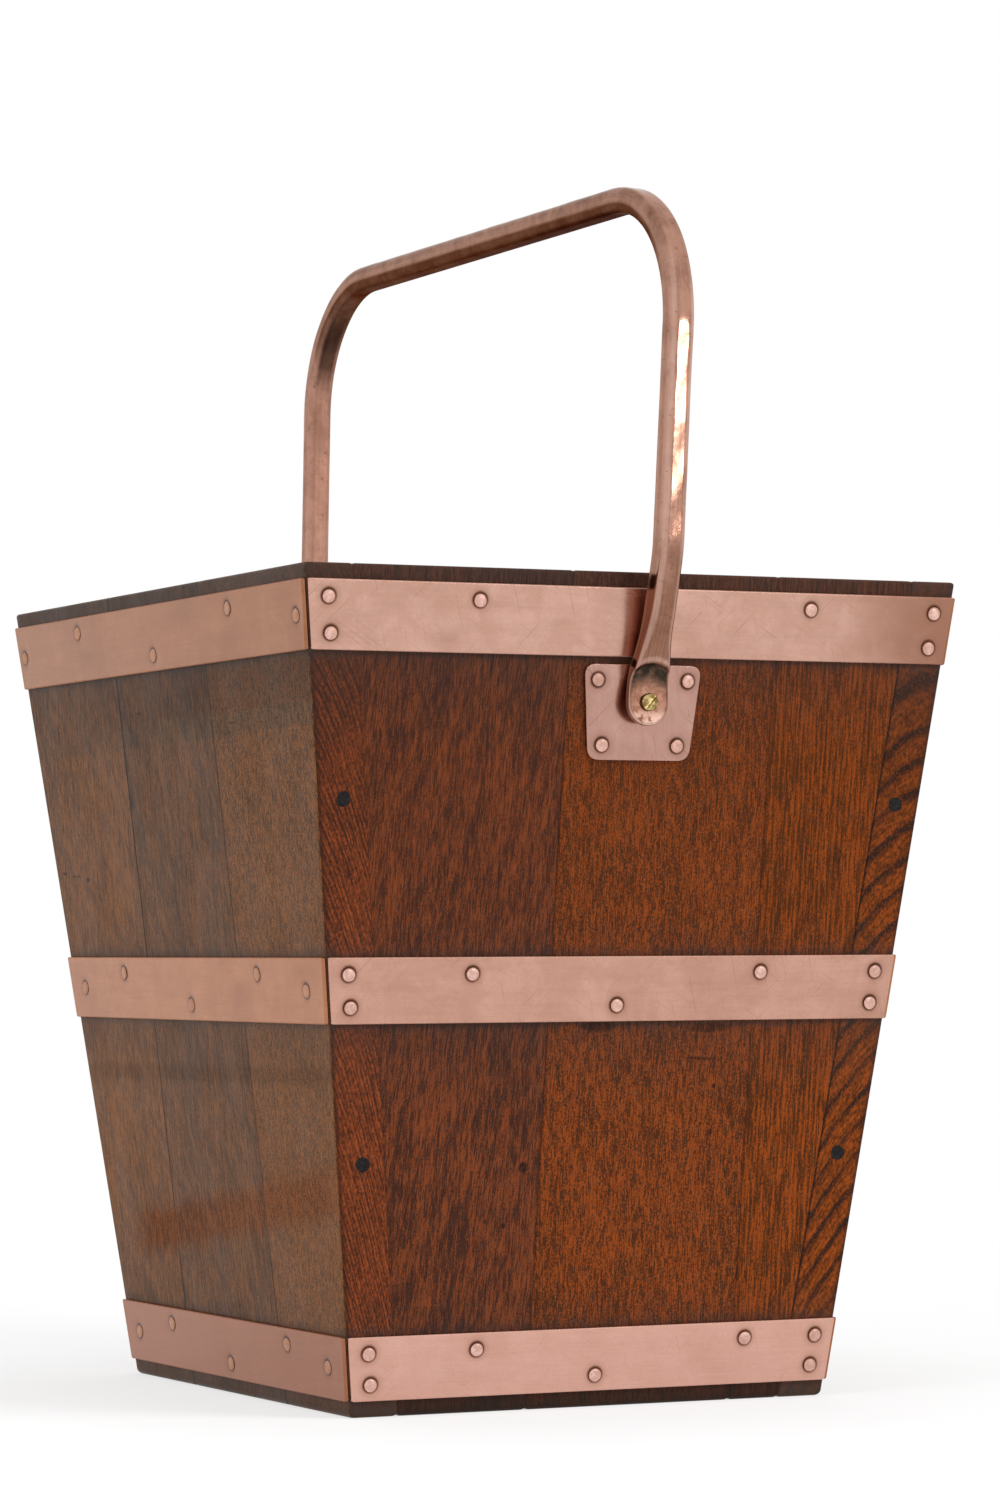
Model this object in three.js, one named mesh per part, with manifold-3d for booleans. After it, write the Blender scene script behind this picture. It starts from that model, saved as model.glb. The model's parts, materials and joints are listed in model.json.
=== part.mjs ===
import * as THREE from 'three';
import { mergeVertices } from 'three/addons/utils/BufferGeometryUtils.js';
import Module from 'manifold-3d';

// Coal bucket of oak boards bound with copper strips, with a swinging copper handle.
// Millimetres, +Z up. The origin is the middle of the foot, on the floor, and -Y is the front.

const wasm = await Module();
wasm.setup();

// Outside of the bucket
const bucketHeight = 387.6;
const rimWidth = 336.6;
const rimDepth = 378.4;
const footWidth = 246;
const footDepth = 268;

// Walls: the left and right ones run the full depth, and the front and back ones stand between them
const sideThickness = 23.5;
const frontThickness = 22;
const boardGap = 0.3;
const frontNarrowJoint = 34;
const frontWideJoint = 73;
const sideFrontJoint = 60;
const sideBackJoint = 56.5;

// Tongues of the front and back walls, in grooves of the side walls
const tongueLength = 17;
const tongueThickness = 8;
const tongueSetback = 7;
const tongueGap = 0.4;

// Pegs driven from the front and back through the tongues
const pegDiameter = 7;
const pegLength = 26;
const pegInset = 12.8;
const upperPegHeight = 282;
const lowerPegHeight = 116.5;

// Base of two boards, wedged between the walls and nailed
const baseThickness = 18;
const baseHeight = 12;
const baseNailDiameter = 3.2;
const baseNailHeadDiameter = 6.5;
const baseNailHeadHeight = 2;
const baseNailLength = 45;
const baseNailShare = 0.4;

// Copper strips, one on each wall at three heights. The upper one hangs a little below the rim.
const bandThickness = 1.6;
const seatGap = 0.3;
const bandEndGap = 0.4;
const upperBandDrop = 7.3;
const upperBandWidth = 31.8;
const middleBandHeight = 180.4;
const middleBandWidth = 30.4;
const lowerBandHeight = 7.7;
const lowerBandWidth = 29.7;

// Copper nails that hold the strips and the pivot plates
const nailHeadDiameter = 6.4;
const nailCrownDiameter = 4.8;
const nailHeadHeight = 1.1;
const nailShankDiameter = 3;
const nailLength = 12;
const nailRowInset = 7.7;
const frontEndNailInset = 10;
const upperSideEndNailInset = 9;
const middleSideEndNailInset = 20;
const lowerSideEndNailInset = 18.5;
const upperFrontNailShares = [-0.49, 0.54];
const middleFrontNailShares = [-0.51, 0.51];
const lowerFrontNailShares = [-0.49, 0.62];
const sideNailShares = [-0.525, 0.525];
const pinGap = 0.2;

// Pivot plates, just under the upper strips
const pivotOffset = 3.7;
const plateDrop = 2.9;
const plateAbovePivot = 18;
const plateBelowPivot = 26.6;
const plateThickness = 1.6;
const plateTopWidth = 60.7;
const plateFootWidth = 52.5;
const plateCorner = 6;
const plateNailTopSpacing = 46.4;
const plateNailFootSpacing = 39;
const plateNailRise = 10.6;
const plateNailDrop = 19.4;

// Pivot screws and their washers, measured outwards from the wood at the pivot
const screwShankDiameter = 5;
const screwLength = 28;
const screwTipLength = 8;
const screwHeadDiameter = 8.2;
const screwHeadHeight = 2.3;
const screwHeadEdge = 0.77;
const screwSlotWidth = 1.3;
const screwSlotDepth = 1.1;
const screwSlotTurn = 0.7;
const washerDiameter = 11;
const washerThickness = 2.1;
const runningGap = 0.15;

// Handle: a square bar bent to a bow, its ends beaten flat
const barSize = 12.7;
const barCorner = 3.5;
const handleRise = 238.9;
const handleSpan = 422.6;
const handleBend = 63.8;
const kneeRise = 68.8;
const kneeSpan = 410.2;
const kneeBend = 60;
const restLean = 0.037;
const bladeStandOff = 5.2;
const bladeThickness = 4.2;
const bladeWidth = 21.1;
const bladeBelowPivot = 10.9;
const bladeFlatRise = 16;
const flareRise = 50;
const flareWaistShare = 0.38;
const wedgeFootRise = 5;
const wedgeTopRise = 41;
const recessSideRise = 11;
const recessCrownRise = 18;
const spineStartRise = 43;
const endTopRise = 52;

// Every cut runs this far past the face it opens
const overrun = 5;

// Facets of round shapes and steps of curves
const headFacets = 10;
const shankFacets = 6;
const pinFacets = 14;
const screwDomeSteps = 3;
const plateCornerSteps = 4;
const bladeCurveSteps = 6;
const barCornerSteps = 1;
const spineSteps = 44;

const oakFront = new THREE.MeshStandardMaterial({ color: 0x6a2f17, roughness: 0.42, metalness: 0 });
const oakSide = new THREE.MeshStandardMaterial({ color: 0x6a4a37, roughness: 0.4, metalness: 0 });
const oakBase = new THREE.MeshStandardMaterial({ color: 0x4a3226, roughness: 0.7, metalness: 0 });
const pegWood = new THREE.MeshStandardMaterial({ color: 0x2a211d, roughness: 0.6, metalness: 0 });
const bandCopper = new THREE.MeshStandardMaterial({ color: 0xcf9c88, roughness: 0.35, metalness: 1 });
const handleCopper = new THREE.MeshStandardMaterial({ color: 0xb97c62, roughness: 0.32, metalness: 1 });
const screwBrass = new THREE.MeshStandardMaterial({ color: 0xb8a05a, roughness: 0.35, metalness: 1 });
const nailIron = new THREE.MeshStandardMaterial({ color: 0x4c4846, roughness: 0.6, metalness: 1 });

const bucket = new THREE.Group();

const upperBandHeight = bucketHeight - upperBandDrop - upperBandWidth;
const pivotHeight = upperBandHeight - plateDrop - plateAbovePivot;

// Half of the outside width and depth at a height
const widthSlope = (rimWidth - footWidth) / 2 / bucketHeight;
const depthSlope = (rimDepth - footDepth) / 2 / bucketHeight;
const halfWidth = (z) => footWidth / 2 + widthSlope * z;
const halfDepth = (z) => footDepth / 2 + depthSlope * z;

// Each wall is drawn as if it were the front one and then turned about the upright axis.
// reach is how far its outer face lies from the middle, and span is half of its length.
// The front and back walls carry the tongues, the pegs and the pivots.
const frontKind = {
  pivoted: true,
  reach: halfDepth,
  span: halfWidth,
  slope: depthSlope,
  thickness: frontThickness,
};
const sideKind = {
  pivoted: false,
  reach: halfWidth,
  span: halfDepth,
  slope: widthSlope,
  thickness: sideThickness,
};
const walls = {
  front: { turn: 0, ...frontKind },
  right: { turn: Math.PI / 2, ...sideKind },
  back: { turn: Math.PI, ...frontKind },
  left: { turn: -Math.PI / 2, ...sideKind },
};
const pivotedSides = ['front', 'back'];

// Solids and meshes

function solidOf(geometry) {
  const bare = geometry.clone();
  bare.deleteAttribute('normal');
  bare.deleteAttribute('uv');
  const merged = mergeVertices(bare);
  const mesh = new wasm.Mesh({
    numProp: 3,
    vertProperties: new Float32Array(merged.attributes.position.array),
    triVerts: new Uint32Array(merged.index.array),
  });
  return new wasm.Manifold(mesh);
}

function geometryOf(solid) {
  const mesh = solid.getMesh();
  const geometry = new THREE.BufferGeometry();
  geometry.setAttribute('position', new THREE.BufferAttribute(mesh.vertProperties, 3));
  geometry.setIndex(new THREE.BufferAttribute(mesh.triVerts, 1));
  geometry.computeVertexNormals();
  return geometry;
}

function joined(solids) {
  return solids.reduce((whole, solid) => whole.add(solid));
}

function addPiece(name, geometry, material, parent = bucket) {
  const mesh = new THREE.Mesh(geometry, material);
  mesh.name = name;
  parent.add(mesh);
  return mesh;
}

// A block with one rectangle at its foot and another at its top, joined by flat faces.
function taperedBlock(level, lowHeight, highHeight) {
  const low = level(lowHeight);
  const high = level(highHeight);
  const geometry = new THREE.BoxGeometry(1, 1, 1);
  const position = geometry.attributes.position;
  for (let i = 0; i < position.count; i += 1) {
    const upper = position.getZ(i) > 0;
    const end = upper ? high : low;
    const x = position.getX(i) > 0 ? end.x1 : end.x0;
    const y = position.getY(i) > 0 ? end.y1 : end.y0;
    position.setXYZ(i, x, y, upper ? highHeight : lowHeight);
  }
  return geometry;
}

// The same block, turned to stand in its wall.
function wallBlock(wall, level, lowHeight, highHeight) {
  return taperedBlock(level, lowHeight, highHeight).rotateZ(wall.turn);
}

// A frame on the outer face of a wall: x along the wall, y up the slope, z straight out of the wood.
function faceFrame(wall, along, height) {
  const lean = Math.atan(wall.slope);
  const frame = new THREE.Matrix4().makeRotationX(Math.PI / 2 + lean);
  frame.setPosition(along, -wall.reach(height), height);
  return frame.premultiply(new THREE.Matrix4().makeRotationZ(wall.turn));
}

// A turned shape about the z axis, from a profile of radius and height.
function turnedShape(profile, facets) {
  const points = profile.map(([radius, height]) => new THREE.Vector2(radius, height));
  return new THREE.LatheGeometry(points, facets).rotateX(Math.PI / 2);
}

// A round cutter about the z axis, between two heights.
function roundCutter(radius, lowHeight, highHeight, facets) {
  const profile = [[0, lowHeight], [radius, lowHeight], [radius, highHeight], [0, highHeight]];
  return turnedShape(profile, facets);
}

// Copper nails

// A tapered nail: its shank is buried in the wood, and its head starts at a height above it.
function nail(underHead, crown) {
  const inHead = (underHead + crown) / 2;
  const shank = [[0, -nailLength], [nailShankDiameter / 2, inHead], [0, inHead]];
  const head = [
    [0, underHead],
    [nailHeadDiameter / 2, underHead],
    [nailCrownDiameter / 2, crown],
    [0, crown],
  ];
  return solidOf(turnedShape(shank, shankFacets)).add(solidOf(turnedShape(head, headFacets)));
}

function nailHole(depth) {
  const widest = nailShankDiameter / 2 + pinGap;
  const profile = [[0, -depth - pinGap], [widest, 0], [widest, overrun], [0, overrun]];
  return turnedShape(profile, shankFacets);
}

// Places of the nails in one strip: two in the upper row and one in the lower, and at each end of the
// strip one in both rows on the front and back, or one between the rows on the sides.
function stripNails(wall, band) {
  const upperRow = band.low + band.width - nailRowInset;
  const lowerRow = band.low + nailRowInset;
  const shares = wall.pivoted ? band.frontShares : sideNailShares;
  const places = [];
  for (const share of shares) {
    places.push({ along: share * wall.span(upperRow), height: upperRow });
  }
  for (const end of [-1, 1]) {
    if (wall.pivoted) {
      places.push({ along: end * (wall.span(upperRow) - frontEndNailInset), height: upperRow });
      places.push({ along: end * (wall.span(lowerRow) - frontEndNailInset), height: lowerRow });
    } else {
      const middleRow = (upperRow + lowerRow) / 2;
      places.push({ along: end * (wall.span(middleRow) - band.sideInset), height: middleRow });
    }
  }
  places.push({ along: wall.pivoted ? band.frontMiddle : 0, height: lowerRow });
  return places;
}

const bands = {
  upper: {
    low: upperBandHeight,
    width: upperBandWidth,
    frontShares: upperFrontNailShares,
    frontMiddle: pivotOffset,
    sideInset: upperSideEndNailInset,
  },
  middle: {
    low: middleBandHeight,
    width: middleBandWidth,
    frontShares: middleFrontNailShares,
    frontMiddle: 0,
    sideInset: middleSideEndNailInset,
  },
  lower: {
    low: lowerBandHeight,
    width: lowerBandWidth,
    frontShares: lowerFrontNailShares,
    frontMiddle: 0,
    sideInset: lowerSideEndNailInset,
  },
};

// Places of the four nails of a pivot plate, as seen from outside
function plateNails(wall) {
  const middle = pivotAlong(wall);
  const places = [];
  for (const end of [-1, 1]) {
    places.push({
      name: end < 0 ? 'upper_left' : 'upper_right',
      along: middle + end * plateNailTopSpacing / 2,
      height: pivotHeight + plateNailRise,
    });
    places.push({
      name: end < 0 ? 'lower_left' : 'lower_right',
      along: middle + end * plateNailFootSpacing / 2,
      height: pivotHeight - plateNailDrop,
    });
  }
  return places;
}

// The pivot lies to the right of the middle, seen from the front, on both walls.
function pivotAlong(wall) {
  return wall === walls.back ? -pivotOffset : pivotOffset;
}

// Pivot, along the front to back axis through both screws

// A frame at a pivot, on the wood: z straight out along the axis, y up.
function pivotFrame(wall) {
  const frame = new THREE.Matrix4().makeRotationX(Math.PI / 2);
  frame.setPosition(pivotAlong(wall), -wall.reach(pivotHeight), pivotHeight);
  return frame.premultiply(new THREE.Matrix4().makeRotationZ(wall.turn));
}

const headSeat = bladeStandOff + bladeThickness + runningGap;

function pivotHole() {
  const radius = screwShankDiameter / 2 + runningGap;
  return roundCutter(radius, headSeat - screwLength - pinGap, headSeat, pinFacets);
}

function pivotScrew() {
  const shank = screwShankDiameter / 2;
  const head = screwHeadDiameter / 2;
  const profile = [
    [0, headSeat - screwLength],
    [shank, headSeat - screwLength + screwTipLength],
    [shank, headSeat],
    [head, headSeat],
  ];
  const dome = screwHeadHeight - screwHeadEdge;
  for (let step = 0; step < screwDomeSteps; step += 1) {
    const angle = (Math.PI / 2) * (step / screwDomeSteps);
    profile.push([head * Math.cos(angle), headSeat + screwHeadEdge + dome * Math.sin(angle)]);
  }
  profile.push([0, headSeat + screwHeadHeight]);
  const slot = new THREE.BoxGeometry(screwHeadDiameter + overrun, screwSlotWidth, screwSlotDepth + overrun);
  slot.translate(0, 0, headSeat + screwHeadHeight - screwSlotDepth + (screwSlotDepth + overrun) / 2);
  slot.rotateZ(screwSlotTurn);
  return geometryOf(solidOf(turnedShape(profile, pinFacets)).subtract(solidOf(slot)));
}

function washer() {
  const bore = screwShankDiameter / 2 + runningGap;
  const inner = bladeStandOff - runningGap - washerThickness;
  const outer = bladeStandOff - runningGap;
  const rim = washerDiameter / 2;
  const profile = [[bore, inner], [rim, inner], [rim, outer], [bore, outer], [bore, inner]];
  return turnedShape(profile, pinFacets);
}

// Pegs

const pegHeights = { upper: upperPegHeight, lower: lowerPegHeight };
const pegPlaces = [];
for (const side of pivotedSides) {
  const wall = walls[side];
  for (const end of [-1, 1]) {
    const hand = (side === 'front') === (end < 0) ? 'left' : 'right';
    for (const [level, height] of Object.entries(pegHeights)) {
      pegPlaces.push({
        name: `${side}_${hand}_${level}`,
        frame: faceFrame(wall, end * (wall.span(height) - pegInset), height),
      });
    }
  }
}

const pegHoles = pegPlaces.map((place) => {
  const hole = roundCutter(pegDiameter / 2 + pinGap, -pegLength - pinGap, overrun, pinFacets);
  return solidOf(hole.applyMatrix4(place.frame));
});

// Base nails, two through each wall into the edge of the base, hidden by the lower strips

const baseNailHeight = baseHeight + baseThickness / 2;
const baseNailPlaces = [];
for (const [side, wall] of Object.entries(walls)) {
  for (const end of [-1, 1]) {
    baseNailPlaces.push({
      name: `${side}_${end < 0 ? 'a' : 'b'}`,
      frame: faceFrame(wall, end * baseNailShare * wall.span(baseNailHeight), baseNailHeight),
    });
  }
}

function baseNailShape(grow) {
  const profile = [
    [0, -baseNailLength - grow],
    [baseNailDiameter / 2 + grow, -baseNailHeadHeight - grow],
    [baseNailHeadDiameter / 2 + grow, -baseNailHeadHeight - grow],
    [baseNailHeadDiameter / 2 + grow, 0],
    [0, 0],
  ];
  return turnedShape(profile, shankFacets);
}

const baseNailHoles = baseNailPlaces.map((place) => {
  const shank = solidOf(baseNailShape(pinGap).applyMatrix4(place.frame));
  const headWay = roundCutter(baseNailHeadDiameter / 2 + pinGap, -baseNailHeadHeight, overrun, shankFacets);
  return shank.add(solidOf(headWay.applyMatrix4(place.frame)));
});

// Walls

// Levels of a board between two edges, each a function of the height
function boardLevel(wall, fromEdge, toEdge) {
  return (z) => ({
    x0: fromEdge(z),
    x1: toEdge(z),
    y0: -wall.reach(z),
    y1: wall.thickness - wall.reach(z),
  });
}

// A tongue on one end of the front or back wall, grown by a gap for its groove
function tongueLevel(wall, end, grow) {
  const shoulder = (z) => wall.span(z) - sideThickness;
  const root = (z) => end * (shoulder(z) - overrun);
  const tip = (z) => end * (shoulder(z) + tongueLength + grow);
  return (z) => ({
    x0: Math.min(root(z), tip(z)),
    x1: Math.max(root(z), tip(z)),
    y0: -wall.reach(z) + tongueSetback - grow,
    y1: -wall.reach(z) + tongueSetback + tongueThickness + grow,
  });
}

// Every hole in the walls: a nail near a corner also runs into the tongue behind it.
function wallHoles() {
  const holes = [...pegHoles, ...baseNailHoles];
  for (const wall of Object.values(walls)) {
    const places = Object.values(bands).flatMap((band) => stripNails(wall, band));
    if (wall.pivoted) {
      places.push(...plateNails(wall));
      holes.push(solidOf(pivotHole().applyMatrix4(pivotFrame(wall))));
    }
    for (const place of places) {
      holes.push(solidOf(nailHole(nailLength).applyMatrix4(faceFrame(wall, place.along, place.height))));
    }
  }
  return joined(holes);
}

function grooves() {
  const cuts = [];
  for (const side of pivotedSides) {
    for (const end of [-1, 1]) {
      const groove = tongueLevel(walls[side], end, tongueGap);
      cuts.push(solidOf(wallBlock(walls[side], groove, -overrun, bucketHeight + overrun)));
    }
  }
  return joined(cuts);
}

const frontCuts = wallHoles();
const sideCuts = frontCuts.add(grooves());

// The three boards of a wall, first to last along it, between its two ends and two joints
function boardEdges(names, joints, wallEnd) {
  const halfGap = boardGap / 2;
  return [
    { name: names[0], from: wallEnd(-1), to: () => joints[0] - halfGap },
    { name: names[1], from: () => joints[0] + halfGap, to: () => joints[1] - halfGap },
    { name: names[2], from: () => joints[1] + halfGap, to: wallEnd(1) },
  ];
}

function frontWall(side) {
  const wall = walls[side];
  const shoulder = (end) => (z) => end * (wall.span(z) - sideThickness - boardGap);
  // The narrow joint lies to the left of the middle, seen from the front, on both walls.
  const edges = side === 'front'
    ? boardEdges(['left', 'middle', 'right'], [-frontNarrowJoint, frontWideJoint], shoulder)
    : boardEdges(['right', 'middle', 'left'], [-frontWideJoint, frontNarrowJoint], shoulder);
  const tongues = [-1, 0, 1];
  edges.forEach((edge, place) => {
    let board = solidOf(wallBlock(wall, boardLevel(wall, edge.from, edge.to), 0, bucketHeight));
    if (tongues[place] !== 0) {
      board = board.add(solidOf(wallBlock(wall, tongueLevel(wall, tongues[place], 0), 0, bucketHeight)));
    }
    addPiece(`${side}_board_${edge.name}`, geometryOf(board.subtract(frontCuts)), oakFront);
  });
}

function sideWall(side) {
  const wall = walls[side];
  const corner = (end) => (z) => end * wall.span(z);
  // Seen from outside, the front of the left wall is on the right, and that of the right wall on the left.
  const edges = side === 'right'
    ? boardEdges(['front', 'middle', 'back'], [-sideFrontJoint, sideBackJoint], corner)
    : boardEdges(['back', 'middle', 'front'], [-sideBackJoint, sideFrontJoint], corner);
  for (const edge of edges) {
    const board = solidOf(wallBlock(wall, boardLevel(wall, edge.from, edge.to), 0, bucketHeight));
    addPiece(`${side}_board_${edge.name}`, geometryOf(board.subtract(sideCuts)), oakSide);
  }
}

frontWall('front');
frontWall('back');
sideWall('left');
sideWall('right');

for (const place of pegPlaces) {
  const peg = roundCutter(pegDiameter / 2, -pegLength, 0, pinFacets);
  addPiece(`peg_${place.name}`, peg, pegWood).applyMatrix4(place.frame);
}

// Base

const baseEdge = (z) => halfWidth(z) - sideThickness - boardGap;
const baseEnd = (z) => halfDepth(z) - frontThickness - boardGap;
const baseBoards = [
  { name: 'left', from: (z) => -baseEdge(z), to: () => -boardGap / 2 },
  { name: 'right', from: () => boardGap / 2, to: baseEdge },
];
for (const board of baseBoards) {
  const level = (z) => ({ x0: board.from(z), x1: board.to(z), y0: -baseEnd(z), y1: baseEnd(z) });
  const block = solidOf(taperedBlock(level, baseHeight, baseHeight + baseThickness));
  addPiece(`base_board_${board.name}`, geometryOf(block.subtract(joined(baseNailHoles))), oakBase);
}

for (const place of baseNailPlaces) {
  addPiece(`base_nail_${place.name}`, baseNailShape(0), nailIron).applyMatrix4(place.frame);
}

// Copper strips with their nails

for (const [side, wall] of Object.entries(walls)) {
  for (const [height, band] of Object.entries(bands)) {
    const level = (z) => ({
      x0: bandEndGap - wall.span(z),
      x1: wall.span(z) - bandEndGap,
      y0: -wall.reach(z) - seatGap - bandThickness,
      y1: -wall.reach(z) - seatGap,
    });
    let strip = solidOf(wallBlock(wall, level, band.low, band.low + band.width));
    const crown = seatGap + bandThickness + nailHeadHeight;
    for (const place of stripNails(wall, band)) {
      const fitted = geometryOf(nail(seatGap + bandThickness / 2, crown));
      strip = strip.add(solidOf(fitted.applyMatrix4(faceFrame(wall, place.along, place.height))));
    }
    addPiece(`band_${height}_${side}`, geometryOf(strip), bandCopper);
  }
}

// Pivot plates, their nails, washers and screws

function plateShape() {
  const corners = [
    new THREE.Vector2(-plateFootWidth / 2, -plateBelowPivot),
    new THREE.Vector2(plateFootWidth / 2, -plateBelowPivot),
    new THREE.Vector2(plateTopWidth / 2, plateAbovePivot),
    new THREE.Vector2(-plateTopWidth / 2, plateAbovePivot),
  ];
  const shape = new THREE.Shape();
  corners.forEach((corner, i) => {
    const before = corners[(i + 3) % 4];
    const after = corners[(i + 1) % 4];
    const start = corner.clone().add(before.clone().sub(corner).setLength(plateCorner));
    const end = corner.clone().add(after.clone().sub(corner).setLength(plateCorner));
    if (i === 0) {
      shape.moveTo(start.x, start.y);
    } else {
      shape.lineTo(start.x, start.y);
    }
    shape.quadraticCurveTo(corner.x, corner.y, end.x, end.y);
  });
  shape.closePath();
  return shape;
}

for (const side of pivotedSides) {
  const wall = walls[side];
  const plate = new THREE.ExtrudeGeometry(plateShape(), {
    depth: plateThickness,
    bevelEnabled: false,
    curveSegments: plateCornerSteps,
  });
  plate.translate(0, 0, seatGap).applyMatrix4(faceFrame(wall, pivotAlong(wall), pivotHeight));
  const holes = [solidOf(pivotHole().applyMatrix4(pivotFrame(wall)))];
  for (const place of plateNails(wall)) {
    const frame = faceFrame(wall, place.along, place.height);
    const underHead = seatGap + plateThickness + runningGap;
    const fitted = geometryOf(nail(underHead, underHead + nailHeadHeight));
    holes.push(solidOf(nailHole(overrun).applyMatrix4(frame)));
    addPiece(`plate_nail_${side}_${place.name}`, fitted, bandCopper).applyMatrix4(frame);
  }
  addPiece(`pivot_plate_${side}`, geometryOf(solidOf(plate).subtract(joined(holes))), bandCopper);
  addPiece(`pivot_washer_${side}`, washer(), screwBrass).applyMatrix4(pivotFrame(wall));
  addPiece(`pivot_screw_${side}`, pivotScrew(), screwBrass).applyMatrix4(pivotFrame(wall));
}

// Handle, drawn about its pivot: x to the right, y to the back, z up the legs

const bladeFace = halfDepth(pivotHeight) + bladeStandOff;
const endLean = (kneeSpan / 2 - bladeFace - barSize / 2) / (kneeRise - bladeFlatRise);
const leanOut = (rise) => endLean * (rise - bladeFlatRise);

// The middle line of the bar in the upright plane, from the front leg over to the back leg.
function spinePath() {
  const legFoot = new THREE.Vector2(bladeFace + barSize / 2, bladeFlatRise);
  const knee = new THREE.Vector2(kneeSpan / 2, kneeRise);
  const startRise = spineStartRise - bladeFlatRise;
  const start = legFoot.clone().add(new THREE.Vector2(endLean * startRise, startRise));
  const shoulder = new THREE.Vector2(handleSpan / 2, handleRise);
  const half = [start, knee, shoulder];
  const mirrored = (point) => new THREE.Vector2(-point.x, point.y);
  const corners = [...half.map(mirrored), ...half.slice().reverse()];
  const radii = [0, kneeBend, handleBend, handleBend, kneeBend, 0];
  const path = new THREE.Path();
  path.moveTo(corners[0].x, corners[0].y);
  for (let i = 1; i < corners.length - 1; i += 1) {
    addBend(path, corners[i - 1], corners[i], corners[i + 1], radii[i]);
  }
  const last = corners[corners.length - 1];
  path.lineTo(last.x, last.y);
  return path;
}

// An arc of the given radius in place of a corner, turning right as the path runs front to back.
function addBend(path, before, corner, after, radius) {
  const incoming = corner.clone().sub(before).normalize();
  const outgoing = after.clone().sub(corner).normalize();
  const turn = Math.atan2(incoming.cross(outgoing), incoming.dot(outgoing));
  const reach = radius * Math.abs(Math.tan(turn / 2));
  const start = corner.clone().addScaledVector(incoming, -reach);
  const clockwise = turn < 0;
  const inward = clockwise ? -1 : 1;
  const centre = start.clone().addScaledVector(new THREE.Vector2(-incoming.y, incoming.x), inward * radius);
  const startAngle = Math.atan2(start.y - centre.y, start.x - centre.x);
  path.lineTo(start.x, start.y);
  path.absarc(centre.x, centre.y, radius, startAngle, startAngle + turn, clockwise);
}

function barSection() {
  const half = barSize / 2;
  const inner = half - barCorner;
  const section = new THREE.Shape();
  section.moveTo(half, -inner);
  section.absarc(inner, inner, barCorner, 0, Math.PI / 2, false);
  section.absarc(-inner, inner, barCorner, Math.PI / 2, Math.PI, false);
  section.absarc(-inner, -inner, barCorner, Math.PI, 1.5 * Math.PI, false);
  section.absarc(inner, -inner, barCorner, 1.5 * Math.PI, 2 * Math.PI, false);
  return section;
}

function bowSolid() {
  const flat = spinePath().getSpacedPoints(spineSteps);
  const spine = new THREE.CatmullRomCurve3(flat.map((point) => new THREE.Vector3(0, point.x, point.y)));
  const bow = new THREE.ExtrudeGeometry(barSection(), {
    steps: spineSteps,
    extrudePath: spine,
    curveSegments: barCornerSteps,
  });
  return solidOf(bow);
}

// Seen from the front: a round-ended blade that narrows to the width of the bar.
function bladeOutline() {
  const half = bladeWidth / 2;
  const neck = barSize / 2;
  const roundCentre = half - bladeBelowPivot;
  const waist = roundCentre + flareWaistShare * (flareRise - roundCentre);
  const outline = new THREE.Shape();
  outline.moveTo(neck, endTopRise);
  outline.lineTo(-neck, endTopRise);
  outline.lineTo(-neck, flareRise);
  outline.bezierCurveTo(-neck, waist, -half, waist, -half, roundCentre);
  outline.absarc(0, roundCentre, half, Math.PI, 2 * Math.PI, false);
  outline.bezierCurveTo(half, waist, neck, waist, neck, flareRise);
  outline.closePath();
  return outline;
}

// Seen from the side: the blade, and above it a wedge that thickens to the bar, leaning away from the bucket.
function endProfile() {
  const outer = bladeFace + barSize;
  const profile = new THREE.Shape();
  profile.moveTo(bladeFace, -bladeBelowPivot - overrun);
  profile.lineTo(bladeFace, bladeFlatRise);
  profile.lineTo(bladeFace + leanOut(endTopRise), endTopRise);
  profile.lineTo(outer + leanOut(endTopRise), endTopRise);
  profile.lineTo(outer + leanOut(wedgeTopRise), wedgeTopRise);
  profile.lineTo(bladeFace + bladeThickness, wedgeFootRise);
  profile.lineTo(bladeFace + bladeThickness, -bladeBelowPivot - overrun);
  profile.closePath();
  return profile;
}

// The foot of the wedge is cut away below an arch, which leaves the blade.
function recessOutline() {
  const half = bladeWidth / 2;
  const past = half + overrun;
  const outline = new THREE.Shape();
  outline.moveTo(-past, -bladeBelowPivot - overrun);
  outline.lineTo(past, -bladeBelowPivot - overrun);
  outline.lineTo(past, recessSideRise);
  outline.lineTo(half, recessSideRise);
  outline.absellipse(0, recessSideRise, half, recessCrownRise - recessSideRise, 0, Math.PI, false);
  outline.lineTo(-past, recessSideRise);
  outline.closePath();
  return outline;
}

// An outline drawn in x and z, given a depth along -y that starts at a face.
function frontExtrusion(outline, face, depth) {
  const options = { depth, bevelEnabled: false, curveSegments: bladeCurveSteps };
  return new THREE.ExtrudeGeometry(outline, options).rotateX(Math.PI / 2).translate(0, -face, 0);
}

function handleEnd() {
  const width = bladeWidth + overrun;
  const profile = new THREE.ExtrudeGeometry(endProfile(), { depth: width, bevelEnabled: false });
  const asSeen = new THREE.Matrix4().makeBasis(
    new THREE.Vector3(0, -1, 0),
    new THREE.Vector3(0, 0, 1),
    new THREE.Vector3(-1, 0, 0),
  );
  profile.translate(0, 0, -width / 2).applyMatrix4(asSeen);
  const deepest = barSize + leanOut(endTopRise);
  const blade = frontExtrusion(bladeOutline(), bladeFace - overrun, deepest + 2 * overrun);
  const recess = frontExtrusion(recessOutline(), bladeFace + bladeThickness, barSize + overrun);
  const boreRadius = screwShankDiameter / 2 + runningGap;
  const bore = roundCutter(boreRadius, -overrun, bladeThickness + overrun, pinFacets);
  bore.rotateX(Math.PI / 2).translate(0, -bladeFace, 0);
  return solidOf(blade).intersect(solidOf(profile)).subtract(solidOf(recess).add(solidOf(bore)));
}

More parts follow.
